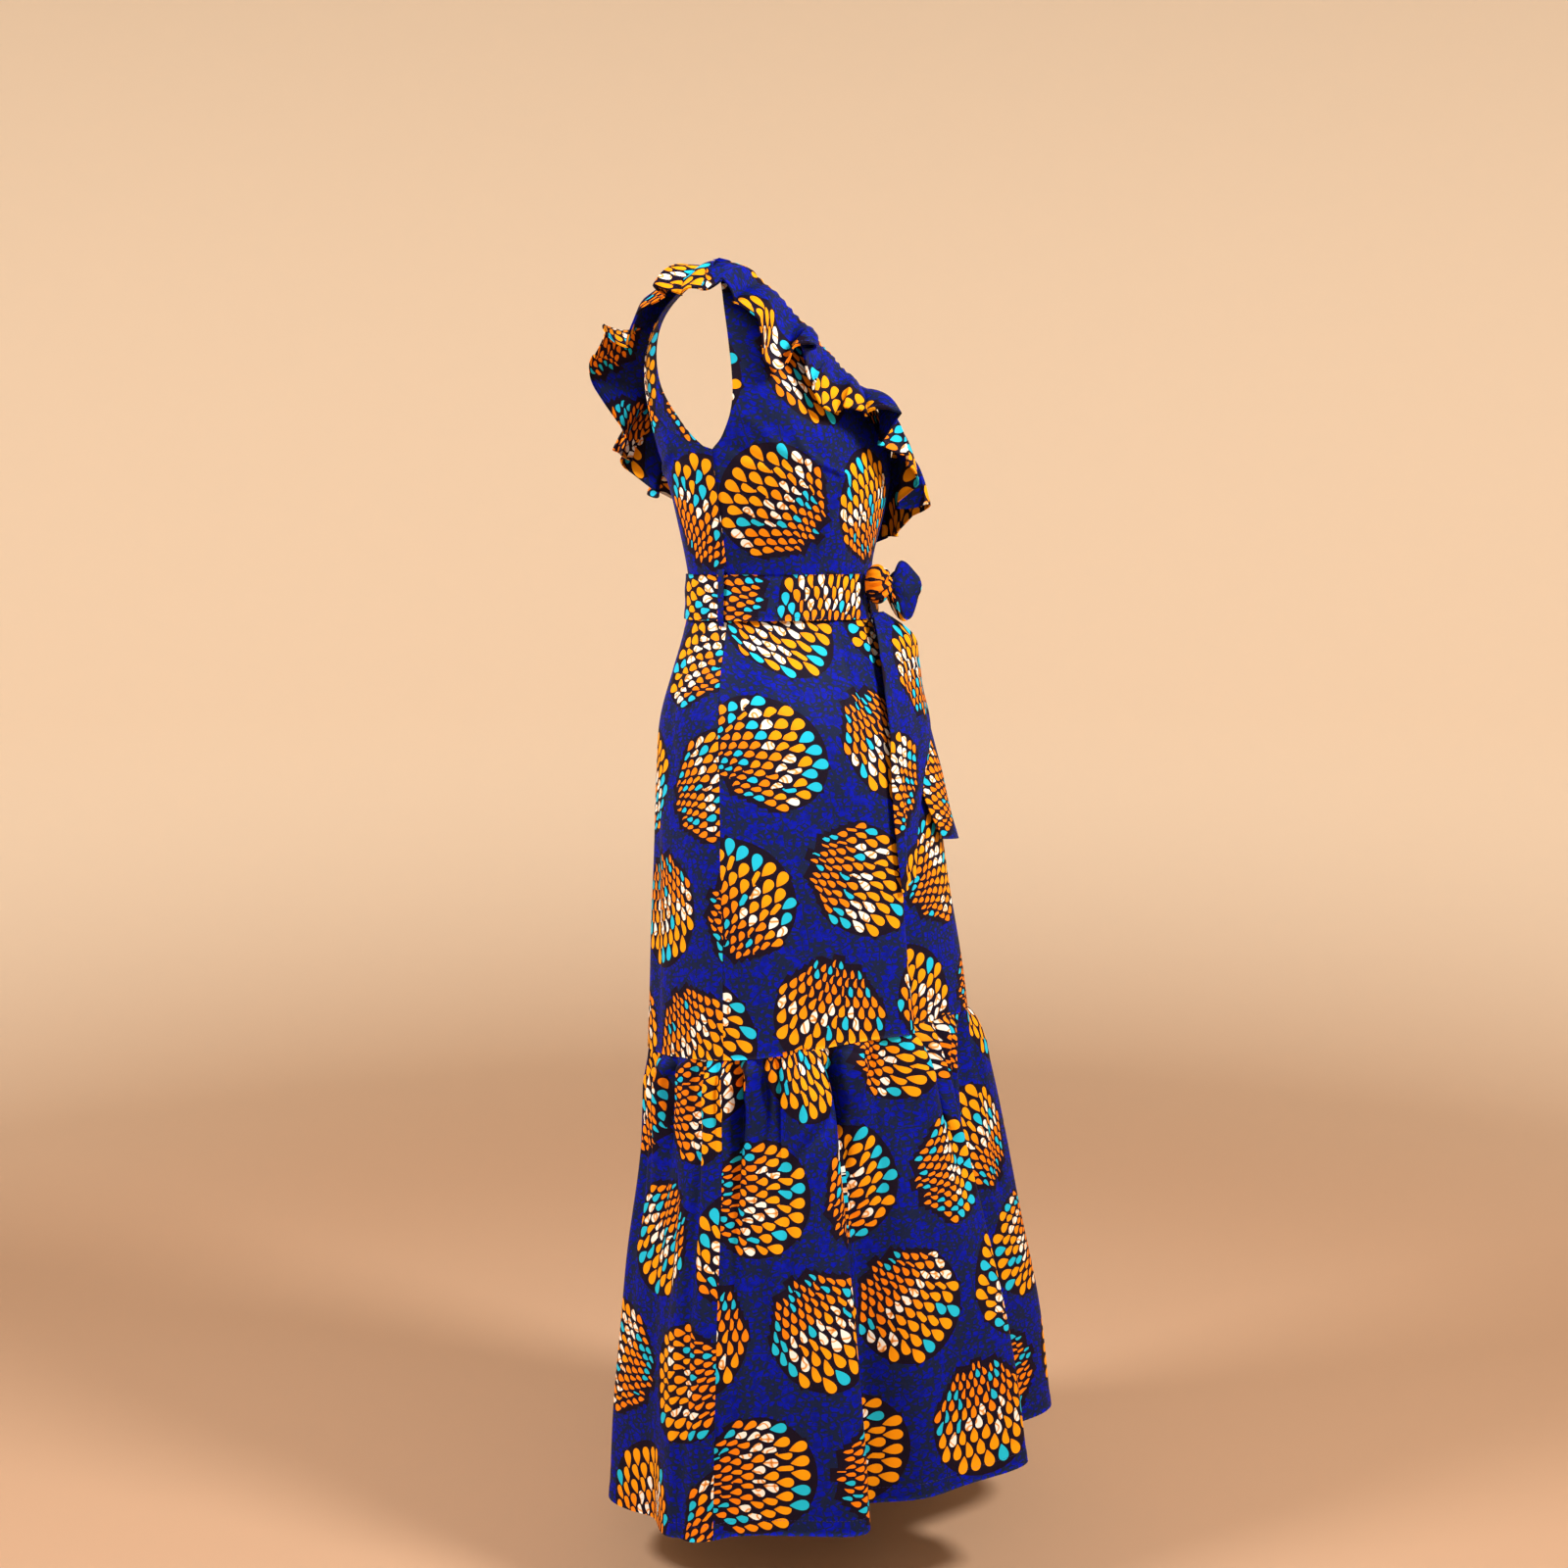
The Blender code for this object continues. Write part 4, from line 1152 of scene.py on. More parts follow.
class WaxPrint:
    """Wax-print cotton: fans of drops on a crackled blue ground."""

    def __init__(self, dyes: Dye, motif: Motif, tints: Tints, crackle: Crackle, cotton: Cotton) -> None:
        """Keeps the colours, the sizes and the finish, and starts the material."""
        self.dyes, self.motif, self.tints, self.crackle, self.cotton = dyes, motif, tints, crackle, cotton
        self.made = bpy.data.materials.new("wax_print_cotton_print")
        self.graph = Graph(self.made)
        self.place = self.graph.term("ShaderNodeUVMap", 0, {}, uv_map="cut")

    def material(self) -> bpy.types.Material:
        """Makes the cloth's material, which reads the piece's own cut.

        Returns:
            The material.
        """
        shader = self.graph.finish(
            self.medallions(self.ground()),
            roughness=self.cotton.roughness,
            specular_ior_level=self.cotton.specular,
        )
        self.graph.feed(shader.inputs["Normal"], self.weave())
        return self.made

    def weave(self) -> Term:
        """Normals of a plain weave with slightly uneven yarns.

        Returns:
            The bump node's normals.
        """
        graph, cotton = self.graph, self.cotton
        x, y, _ = graph.split(self.place)
        turn = math.tau / cotton.weave_pitch
        over = graph.math("SINE", x * turn) * graph.math("SINE", y * turn)
        height = over + graph.noise(self.place, cotton.yarn_pace) * cotton.yarn_lumps
        inputs = {"Strength": cotton.weave_bump, "Distance": cotton.weave_deep, "Height": height}
        return graph.term("ShaderNodeBump", 0, inputs)

    def ground(self) -> Term:
        """The blue ground with the dark crackle of broken wax and longer veins.

        Returns:
            Its colour.
        """
        graph, place, marks = self.graph, self.place, self.crackle
        x, y, _ = graph.split(place)
        bent = graph.join(
            (x + graph.stray(place, *marks.across_stray)) * marks.across,
            (y + graph.stray(place, *marks.down_stray)) * marks.down,
        )
        smear = graph.ramp(graph.noise(place, marks.smear), *marks.smear_range)
        half = smear * marks.dash_smeared + marks.dash
        dashes = graph.ramp(half - graph.cracks(bent, 1.0), *marks.dash_range)
        wide = graph.join(
            x + graph.stray(place, *marks.vein_across),
            y + graph.stray(place, *marks.vein_down),
        )
        vein = 1.0 - graph.ramp(graph.cracks(wide, marks.vein), *marks.vein_range)
        patch = graph.ramp(graph.noise(place, marks.patch), *marks.patch_range)
        blue = graph.mix(patch * marks.patch_share, self.dyes.ground, self.dyes.ground_deep)
        return graph.mix(graph.math("MAXIMUM", dashes, vein), blue, self.dyes.crackle)

    def medallions(self, ground: Term) -> Term:
        """The fans of drops over a ground.

        Args:
            ground: the colour between the fans.

        Returns:
            The print's colour.
        """
        graph, m = self.graph, self.motif
        x, y, _ = graph.split(self.place)
        row = (y / m.pitch_down).floor()
        stepped = x / m.pitch_across + graph.math("FLOORED_MODULO", row, 2.0) * 0.5
        step = stepped.floor()
        stray_x, stray_y, turn = graph.dice(step, row, m.seed)
        from_x = (stepped - step - 0.5) * m.pitch_across - (stray_x - 0.5) * (2 * m.jitter)
        from_y = (y / m.pitch_down - row - 0.5) * m.pitch_down - (stray_y - 0.5) * (2 * m.jitter)
        sine, cosine = graph.math("SINE", turn * math.tau), graph.math("COSINE", turn * math.tau)
        side = from_x * cosine - from_y * sine
        up = from_x * sine + from_y * cosine + m.focus * m.radius
        reach = (side * side + up * up) ** 0.5
        spot = FanSpot(step * m.fans_apart + row, reach, graph.math("ARCTAN2", side, up))
        rings = graph.math("LOGARITHM", reach / m.radius, m.growth)
        ring = rings.floor()
        part = rings - ring
        disc = (from_x * from_x + from_y * from_y) ** 0.5
        colour = graph.mix(disc < (m.radius - m.rim / 2), ground, self.dyes.dark)
        own, tint = self.drop(spot, ring, part)
        ahead, ahead_tint = self.drop(spot, ring + 1.0, part - 1.0)
        colour = graph.mix(graph.math("MAXIMUM", own, ahead) > -m.rim, colour, self.dyes.dark)
        colour = graph.mix((own > m.outline) * ((ahead > -m.outline) < 0.5), colour, tint)
        return graph.mix(ahead > m.outline, colour, ahead_tint)

    def drop(self, spot: FanSpot, ring: Term, part: Term) -> tuple[Term, Term]:
        """One drop of a fan.

        Args:
            spot: the place, seen from the fan's focus.
            ring: the drop's ring.
            part: how far out in that ring, less than 0 on its tail.

        Returns:
            Metres inside the drop's edge, and the drop's colour.
        """
        graph, m = self.graph, self.motif
        length = math.log(m.growth) * (1 + m.tail)
        shift = graph.math("FLOORED_MODULO", ring, 2.0) * 0.5
        slots = spot.angle / m.spread + shift
        slot = slots.floor()
        dice = graph.dice(slot, ring, spot.fan)
        along = graph.math("MAXIMUM", (part + m.tail) / (1 + m.tail), 0.0)
        off = slots - slot - 0.5 + (dice[0] - 0.5) * m.bend * ((1.0 - along) ** 2.0)
        power = m.fullness**2
        inside = along * along * (1.0 - along) * power - off * off
        slope_side = off * 2.0 / (spot.reach * m.spread)
        slope_out = along * (2.0 - along * 3.0) * power / (spot.reach * length)
        edge = inside / ((slope_side * slope_side + slope_out * slope_out + 1e-4) ** 0.5)
        middle = graph.math("POWER", m.growth, ring + 0.5) * m.radius
        centre = (slot + 0.5 - shift) * m.spread
        disc_x = middle * graph.math("SINE", centre)
        disc_y = middle * graph.math("COSINE", centre) - m.focus * m.radius
        from_middle = (disc_x * disc_x + disc_y * disc_y) / m.radius**2
        kept = from_middle < m.disc
        tint = self.tint(dice, along, from_middle, disc_y / (2 * m.radius) + 0.5)
        return edge * kept - (1.0 - kept), tint

    def tint(self, dice: tuple[Term, ...], along: Term, from_middle: Term, level: Term) -> Term:
        """A drop's colour.

        Args:
            dice: the drop's random numbers.
            along: how far along the drop, from its tail.
            from_middle: its distance from the fan's middle, in radii squared.
            level: how far up the fan it lies, from 0 to 1.

        Returns:
            The colour, orange to amber, pale or turquoise.
        """
        graph, dyes, t = self.graph, self.dyes, self.tints
        a, b, c = dice
        amber = graph.ramp(level + (c - 0.5) * t.amber_stray, *t.amber_range)
        plain = graph.mix(amber, dyes.orange, dyes.amber)
        plain = graph.mix(graph.ramp(along, *t.rust_range) * t.rust, plain, dyes.rust)
        stain = graph.math("ABSOLUTE", graph.noise(self.place, t.stain_pitch, 0.0) - 0.5)
        pale = graph.mix(graph.ramp(stain, *t.stain_range) * t.stain, dyes.white, dyes.amber)
        pale = graph.mix(graph.ramp(stain, *t.core_range) * t.core, pale, dyes.rust)
        belt = graph.math("ABSOLUTE", level - 0.50 + (a - 0.5) * t.belt_stray) < t.belt
        colour = graph.mix(belt * (c > t.belt_gaps), plain, pale)
        rim = (from_middle > t.rim_from) * t.turquoise_rim
        return graph.mix(b < rim + t.turquoise, colour, dyes.turquoise)


# ---------------------------------------------------------------- pieces


class Held(Enum):
    """How a piece of cloth is held."""

    HUNG = "hung"
    GATHERED = "gathered"
    STRETCHED = "stretched"
    FOLDED = "folded"


@dataclass(frozen=True)
class Cut:
    """How a piece was cut from the cloth, in metres."""

    width: float
    length: float
    area: float
    offset: tuple[float, float]  # where on the print it was cut
    held: Held


@dataclass
class Piece:
    """A piece of the dress that stands for one solid."""

    node: str
    rests_on: tuple[str, ...] = ()
    built: Optional[bpy.types.Object] = field(default=None, init=False)
    _: KW_ONLY
    hem: float = 0.0  # depth of its turned-up hem
    stitched: float = 0.0  # how far from its free edge a row of stitches runs, or 0 for none
    deep: float = 0.0  # depth of the straight strip that it is cut as, or 0 if it is cut to shape

    def grid(self) -> np.ndarray:
        """The middle of the cloth, rows by columns, from the body's axis."""
        raise NotImplementedError

    def laid_flat(self, grid: np.ndarray) -> np.ndarray:
        """The cloth's own coordinates at each point of the grid."""
        return strip_cut(grid, self.deep) if self.deep else flat_cut(grid, grid.shape[1] // 2)

    def mesh(self) -> None:
        """Makes the piece's shell."""
        grid = self.grid()
        self.built = cloth_shell(self.name, grid, self.laid_flat(grid), self.cut.offset, self.hem)

    @property
    def name(self) -> str:
        """The object's name."""
        return self.node + "_cloth"

    @property
    def cut(self) -> Cut:
        """How it was cut from the cloth."""
        return CUTS[self.node]

    def dress(self, material: bpy.types.Material, sewn: Sequence[bpy.types.Object] = ()) -> None:
        """Gives the piece its material, hangs it on the body and hides the solid that it stands for.

        Args:
            material: the printed cotton.
            sewn: its rows of stitches, not used.
        """
        self.built.data.materials.append(material)
        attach(self.built, BODY)
        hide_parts(self.node)
        self.declare(sewn)
        LOG.info("%s: %d faces", self.name, len(self.built.data.polygons))

    def declare(self, sewn: Sequence[bpy.types.Object]) -> None:
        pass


@dataclass
class Panel(Piece):
    """A front or back panel with its creases."""

    is_front: bool = True
    creases: tuple[Crease, ...] = ()
    _: KW_ONLY
    points_down: int = 110
    points_across: int = 120
    uneven: tuple[float, float] = (0.0006, 0.07)  # height and pitch of its slight unevenness
    seed: int = 11  # which unevenness the back has, and the front has the next

    def pressed(self, grid: np.ndarray) -> np.ndarray:
        """The smooth form with the panel's creases and its slight unevenness.

        Args:
            grid: the smooth form.

        Returns:
            Points, rows by columns by three.
        """
        flat = flat_cut(grid, grid.shape[1] // 2)
        uneven = unevenness(flat, *self.uneven, self.seed + self.is_front)
        return grid + outward(grid) * (crease_height(flat, self.creases) + uneven)[..., None]


@dataclass
class Bodice(Panel):
    """The front or the back of the one-shoulder bodice."""

    _: KW_ONLY
    straight: tuple[float, float] = (230.0, -50.0)  # where the back and the front lie straight

    def places(self) -> tuple[np.ndarray, np.ndarray]:
        """Table rows from the shoulder down, and the angles across each.

        Returns:
            The rows, and the angles, rows by columns.
        """
        rows = np.linspace(TOP_ROW, 0, self.points_down)[:, None]
        share = np.linspace(0, 1, self.points_across)[None, :]
        left, right = neckline_angle(rows, self.is_front), armhole_angle(rows, self.is_front)
        return rows[:, 0], left + (right - left) * share

    def grid(self) -> np.ndarray:
        """The panel from the shoulder seam to the waist seam.

        Returns:
            Points, rows by columns by three.
        """
        rows, angle = self.places()
        grid = bodice_point(rows[:, None], angle)
        grid = self.pressed(grid + outward(grid) * WALL / 2)
        grid[-1, :, 2] = -WAIST_BELOW + GAP
        return grid

    def laid_flat(self, grid: np.ndarray) -> np.ndarray:
        """The cut, straight at the middle of the right half."""
        return bodice_cut(*self.places(), self.straight[self.is_front])


@dataclass
class Ruffle(Piece):
    """Half of the single-layer ruffle, gathered along the neckline."""

    is_front: bool = True
    flounces: tuple[Flounce, ...] = ()
    _: KW_ONLY
    points_down: int = 36
    points_across: int = 420
    deep: float = 0.088
    hem: float = 0.006
    stitched: float = 0.006
    off: float = 1.5 * WALL + GAP  # the seam, from the inside of the bodice
    gathers: int = 46
    gather_deep: float = 0.0016
    gather_spacing: Sway = Sway(1.3, 23.0)
    gather_fade: float = 5.0  # how fast they fade from the seam
    gather_rise: float = 12.0  # how fast they rise at it, from a quarter of their height
    flutes: int = 12
    flute_deep: float = 0.0170
    flute_curl: float = 0.0062  # how far their tops lean over
    flute_spacing: Sway = Sway(1.4, 11.0, 0.7)
    flute_depths: Sway = Sway(0.25, 29.0)
    flute_growth: float = 1.5  # more keeps them nearer to the free edge
    flute_ends: float = 0.07  # share of the seam over which they fade at its ends
    stand: float = 0.013  # how far the free edge stays off the bodice
    joined: float = 0.012  # share of the seam over which the two halves close on each other

    def fluted(self, grid: np.ndarray, share: np.ndarray, fall: np.ndarray) -> np.ndarray:
        """The ruffle with flutes that grow and curl over towards its free edge.

        Args:
            grid: the smooth form.
            share: places along the seam, from 0 to 1.
            fall: shares of the way to the free edge, as a column.

        Returns:
            The new grid.
        """
        phase = share * self.flutes * math.tau + self.flute_spacing.at(share)
        ends = np.clip(share / self.flute_ends, 0, 1) * np.clip((1 - share) / self.flute_ends, 0, 1)
        grown = fall**self.flute_growth * ends * varied(share, self.flute_depths)
        along = unit(np.gradient(grid, axis=1))
        out = self.flute_deep * np.sin(phase) * grown
        aside = self.flute_curl * np.sin(2 * phase) * grown
        return grid + normals_of(grid) * out[..., None] + along * aside[..., None]

    def smooth_form(self, share: np.ndarray, v: np.ndarray) -> np.ndarray:
        """The ruffle without its gathers and flutes: it stands off its seam, goes out and falls over.

        Args:
            share: places along the seam, from 0 to 1.
            v: shares of the way to the free edge, one for each row.

        Returns:
            Points, rows by columns.
        """
        place, normal = neckline_frame(share, self.is_front)
        root = place + normal * self.off
        away = unit(root * [1.0, 1.0, 0.0])
        way = 1.0 if self.is_front else -1.0
        leftwards = way * np.stack([-away[:, 1], away[:, 0], away[:, 2]], axis=-1)
        xs = column(self.flounces, "along")
        reach, drop, sweep, lift = (
            smooth(share, xs, column(self.flounces, k))[:, None] for k in ("reach", "drop", "sweep", "lift")
        )
        swing, fall = away * reach + leftwards * sweep, np.array([0.0, 0.0, -1.0]) * drop
        edge = root + swing + fall
        knee = root + normal * lift
        shin = knee + SHIN_OUT * swing + SHIN_DOWN * fall
        return (1 - v) ** 3 * root + 3 * v * (1 - v) ** 2 * knee + 3 * v**2 * (1 - v) * shin + v**3 * edge

    def grid(self) -> np.ndarray:
        """The ruffle from its seam to its free edge.

        Returns:
            Points, rows by columns by three.
        """
        share = np.linspace(0, 1, self.points_across)
        fall = np.linspace(0, 1, self.points_down)[:, None]
        grid = self.smooth_form(share, fall[..., None])
        wave = np.sin(share * self.gathers * math.tau + self.gather_spacing.at(share))
        fade = np.exp(-fall * self.gather_fade) * np.clip(fall * self.gather_rise, 0.25, 1.0)
        grid = grid + normals_of(grid) * (self.gather_deep * wave * fade)[..., None]
        grid = off_bodice(self.fluted(grid, share, fall), self.off + self.stand * fall**1.5)
        joined = np.exp(-((np.minimum(share, 1 - share) / self.joined) ** 2))
        way = -1.0 if self.is_front else 1.0
        seam = SEAM_BACK + way * GAP
        kept = way * np.maximum(way * grid[..., 1], way * seam)
        grid[..., 1] = kept + joined * (seam - kept)
        return grid

@dataclass
class Skirt(Panel):
    """The front or the back of the flared skirt."""

    points_down: int = 130
    points_across: int = 220
    uneven: tuple[float, float] = (0.0008, 0.11)
    seed: int = 21

    def grid(self) -> np.ndarray:
        """The panel from the waist seam to the tier's seam.

        Returns:
            Points, rows by columns by three.
        """
        below = np.linspace(WAIST_BELOW, TIER_BELOW, self.points_down)[:, None]
        angle = panel_angles(self.is_front, self.points_across)[None, :]
        share = (below - WAIST_BELOW) / (TIER_BELOW - WAIST_BELOW)
        below, angle, share = np.broadcast_arrays(below, angle, share)
        grid = ring_point(SKIRT_RINGS, below, angle, *fold_shape(angle, share, SKIRT_FOLDS))
        return self.pressed(grid + outward(grid) * WALL / 2)


@dataclass
class Tier(Panel):
    """The front or the back of the gathered tier."""

    _: KW_ONLY
    points_down: int = 118
    points_across: int = 400
    row_closer: float = 1.25  # more brings the rows closer together at the seam
    uneven: tuple[float, float] = (0.0010, 0.12)
    seed: int = 31
    deep: float = 0.545
    hem: float = 0.014
    stitched: float = 0.012
    puckers: int = 23
    pucker_deep: float = 0.0140
    pucker_fade: float = 0.17  # share of the tier's height over which they fade
    pucker_start: float = 0.035  # and over which the seam presses them
    pucker_pressed: float = 0.92  # how flat it presses them
    pucker_power: float = 0.7  # less is rounder on top and sharper in the valleys
    pucker_level: float = 0.65  # their height that lies on the smooth form
    pucker_spacing: tuple[Sway, ...] = (Sway(1.3, 5, 0.4), Sway(0.7, 11))
    pucker_depths: Sway = Sway(0.35, 9, 2.0)
    gather_opens: float = 0.8  # how much wider a gather is where it ends

    def grid(self) -> np.ndarray:
        """The panel from the gathered seam to the hem.

        Returns:
            Points, rows by columns by three.
        """
        share = np.linspace(0, 1, self.points_down)[:, None] ** self.row_closer
        share, angle = np.broadcast_arrays(share, panel_angles(self.is_front, self.points_across)[None, :])
        below = TIER_BELOW - TUCK + (HEM_BELOW - TIER_BELOW + TUCK) * share
        share = np.clip((below - TIER_BELOW) / (HEM_BELOW - TIER_BELOW), 0, 1)
        height, sideways = tier_shape(angle, share)
        grid = ring_point(TIER_RINGS, below, angle, height + self.pucker_height(angle, share), sideways)
        sunk = TUCK_IN * np.exp(-np.maximum(below - TIER_BELOW, 0) / TUCK_SOFT)
        return self.pressed(grid + outward(grid) * (WALL / 2 - sunk)[..., None])

    def pucker_height(self, angle: np.ndarray, share: np.ndarray) -> np.ndarray:
        """Gathers right under the seam, finer than the solid's: round puffs between sharp valleys.

        Args:
            angle: the angle.
            share: 0 at the seam and 1 at the hem.

        Returns:
            Metres out.
        """
        turn = np.radians(angle)
        phase = turn * self.puckers + sum(sway.at(turn) for sway in self.pucker_spacing)
        wave = np.abs(np.sin(phase)) ** self.pucker_power - self.pucker_level
        out = self.pucker_deep * wave * varied(turn, self.pucker_depths) * np.exp(-share / self.pucker_fade)
        for gather in TIER_GATHERS:
            down = share / gather.reach
            aside = apart(angle, gather.angle) / (gather.width * (1 + self.gather_opens * down))
            out = out + gather.height * np.exp(-(aside**2) - down**2)
        return out * (1 - self.pucker_pressed * np.exp(-share / self.pucker_start))


@dataclass
class Band(Piece):
    """The sash round the waist, open behind its knot."""

    _: KW_ONLY
    points_down: int = 16
    points_across: int = 300
    stitched: float = 0.003
    ripples: float = 9.0  # radians of soft creases over its width
    ripple_deep: float = 0.0007
    ripple_bends: Sway = Sway(1.5, 3)

    def grid(self) -> np.ndarray:
        """The band, with soft creases along it.

        Returns:
            Points, rows by columns by three.
        """
        share = np.linspace(0, 1, self.points_down)[:, None]
        turn = np.linspace(KNOT_ANGLE + KNOT_GAP, KNOT_ANGLE + 360 - KNOT_GAP, self.points_across)[None, :]
        share, turn = np.broadcast_arrays(share, turn)
        grid = ring_point(SASH_RINGS, SASH_TOP + SASH_DEEP * share, turn, WALL / 2)
        phase = share * self.ripples + self.ripple_bends.at(np.radians(turn))
        ripple = self.ripple_deep * np.sin(phase) * np.sin(share * math.pi)
        return grid + outward(grid) * ripple[..., None]


@dataclass
class Tail(Piece):
    """One hanging end of the sash."""

    rows: tuple[TailRow, ...] = ()
    _: KW_ONLY
    points_down: int = 90
    points_across: int = 48
    pleats: float = 3.2
    pleat_deep: float = 0.0025
    pleat_start: float = 0.5  # the first pleat's phase
    pleat_fade: float = 5.0  # how fast they fade from the knot
    pleat_rise: float = 9.0  # how fast they rise at it

    def grid(self) -> np.ndarray:
        """The tail from the knot to its cut end, pleated where it leaves the knot.

        Returns:
            Points, rows by columns by three.
        """
        xs = column(self.rows, "below")
        below = np.linspace(xs[0], xs[-1], self.points_down)[:, None]
        share = np.linspace(0, 1, self.points_across)[None, :]
        names = ("right", "left", "right_off", "left_off", "skew")
        right, left, right_off, left_off, skew = (smooth(below, xs, column(self.rows, k)) for k in names)
        angle = right + (left - right) * share
        off = right_off + (left_off - right_off) * share + TAIL_CUP * 4 * share * (1 - share)
        down = (below - xs[0]) / (xs[-1] - xs[0])
        pleat = self.pleat_deep * np.sin(share * self.pleats * math.tau + self.pleat_start)
        off = off + pleat * np.exp(-down * self.pleat_fade) * np.clip(down * self.pleat_rise, 0, 1)
        below = below + skew * share
        fold, sideways = fold_shape(angle, (below - WAIST_BELOW) / (TIER_BELOW - WAIST_BELOW), SKIRT_FOLDS)
        return ring_point(SKIRT_RINGS, below, angle, np.maximum(fold, 0) + off, sideways)


@dataclass
class Loop(Piece):
    """The bow's loop, a folded band that leaves the knot and comes back to it."""

    _: KW_ONLY
    points_down: int = 24
    points_across: int = 90
    pleats: float = 2.5
    pleat_deep: float = 0.0012

    def grid(self) -> np.ndarray:
        """The loop, its creases fanning from the knot.

        Returns:
            Points, rows by columns by three.
        """
        knots = np.arange(len(LOOP_STEPS), dtype=float)
        step = np.linspace(0, len(LOOP_STEPS) - 1, self.points_across)
        x, y, top, foot = (smooth(step, knots, column(LOOP_STEPS, k)) for k in ("x", "y", "top", "foot"))
        away = unit(np.stack([np.gradient(y), -np.gradient(x)], axis=-1))
        share = np.linspace(0, 1, self.points_down)[:, None]
        near = np.abs(step / (len(LOOP_STEPS) - 1) * 2 - 1) ** 2
        belly = LOOP_BELLY * 4 * share * (1 - share)
        belly = belly + self.pleat_deep * np.sin(share * self.pleats * math.tau) * near
        return np.stack([x + belly * away[:, 0], y + belly * away[:, 1], top + (foot - top) * share], axis=-1)


@dataclass
class Strap(Piece):
    """A belt loop over the sash at a side seam."""

    side: int = 1  # 1 on the left, -1 on the right
    _: KW_ONLY
    points_down: int = 40
    points_across: int = 8
    bend: float = 0.0015  # how far from the sash's edges it bends
    under: float = 1.5 * WALL + 2 * GAP  # its middle, from the inside of the dress
    over: float = 1.5 * WALL + 3 * GAP  # from the inside of the sash

    def grid(self) -> np.ndarray:
        """The strap from its upper tack over the sash to its lower one.

        Returns:
            Points, rows by columns by three.
        """
        foot = SASH_TOP + SASH_DEEP
        turn = np.degrees(STRAP_WIDE / 2 / SASH_RINGS[0].side)
        angle = self.side * np.linspace(STRAP_ANGLE - turn, STRAP_ANGLE + turn, self.points_across)
        first = bodice_point(bodice_row(STRAP_END - SASH_TOP, LEFT_TOP_ROW, 200), angle)
        corners = np.stack(
            [
                first + self.under * unit(first * [1.0, 1.0, 0.0]),
                ring_point(SASH_RINGS, SASH_TOP - self.bend, angle, self.over),
                ring_point(SASH_RINGS, foot + self.bend, angle, self.over),
                ring_point(SKIRT_RINGS, foot + STRAP_END, angle, self.under),
            ]
        )
        at = np.linspace(0, 3, self.points_down)
        low = np.minimum(at.astype(int), 2)
        share = (at - low)[:, None, None]
        return corners[low] * (1 - share) + corners[low + 1] * share


@dataclass
class Knot(Piece):
    """The knot, cloth wrapped tight over itself."""

    _: KW_ONLY
    level: int = 6  # how often the ball is divided
    way: tuple[float, float] = (0.8, -0.35)  # across the folds, up and sideways
    fine_folds: int = 17
    fine_deep: float = 0.018
    fine_fan: float = 2.0  # how far they fan out
    back_round: float = 0.0004  # how far its back is from flat
    fill: float = 0.8

    def mesh(self) -> None:
        """A lump with folds that fan over it and a flat back."""
        shape = bmesh.new()
        bmesh.ops.create_icosphere(shape, subdivisions=self.level, radius=1.0)
        ball = np.array([vertex.co for vertex in shape.verts])
        faces = np.array([[vertex.index for vertex in face.verts] for face in shape.faces])
        shape.free()
        across, deep, up = ball.T
        way = self.way[0] * up + self.way[1] * across
        front = (1 - deep) / 2
        size = 1 + KNOT_FOLD_DEEP * np.cos(KNOT_FOLDS * np.pi * way) * front
        size += self.fine_deep * np.cos(self.fine_folds * np.pi * way + self.fine_fan * across) * front
        points = np.array(KNOT_CENTRE) + np.array(KNOT_SIZE) * ball * size[:, None]
        points[:, 1] = np.minimum(points[:, 1], KNOT_BACK + self.back_round * deep)
        self.built = mesh_object(self.name, points + AXIS, faces, points[:, [0, 2]] + self.cut.offset)

    def declare(self, sewn: Sequence[bpy.types.Object]) -> None:
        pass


# ---------------------------------------------------------------- sewing


@dataclass(frozen=True)
class Thread:
    """A row of straight stitches."""

    pitch: float = 0.0042
    length: float = 0.0030
    thick: float = 0.00035
    roughness: float = 0.5
    colour: Colour = (0.018, 0.012, 0.200, 1.0)
    shade: Colour = (0.010, 0.007, 0.110, 1.0)
    shade_pace: float = 400.0  # changes of shade, to a metre
    sides: int = 6  # of each stitch's ball
    rings: int = 4


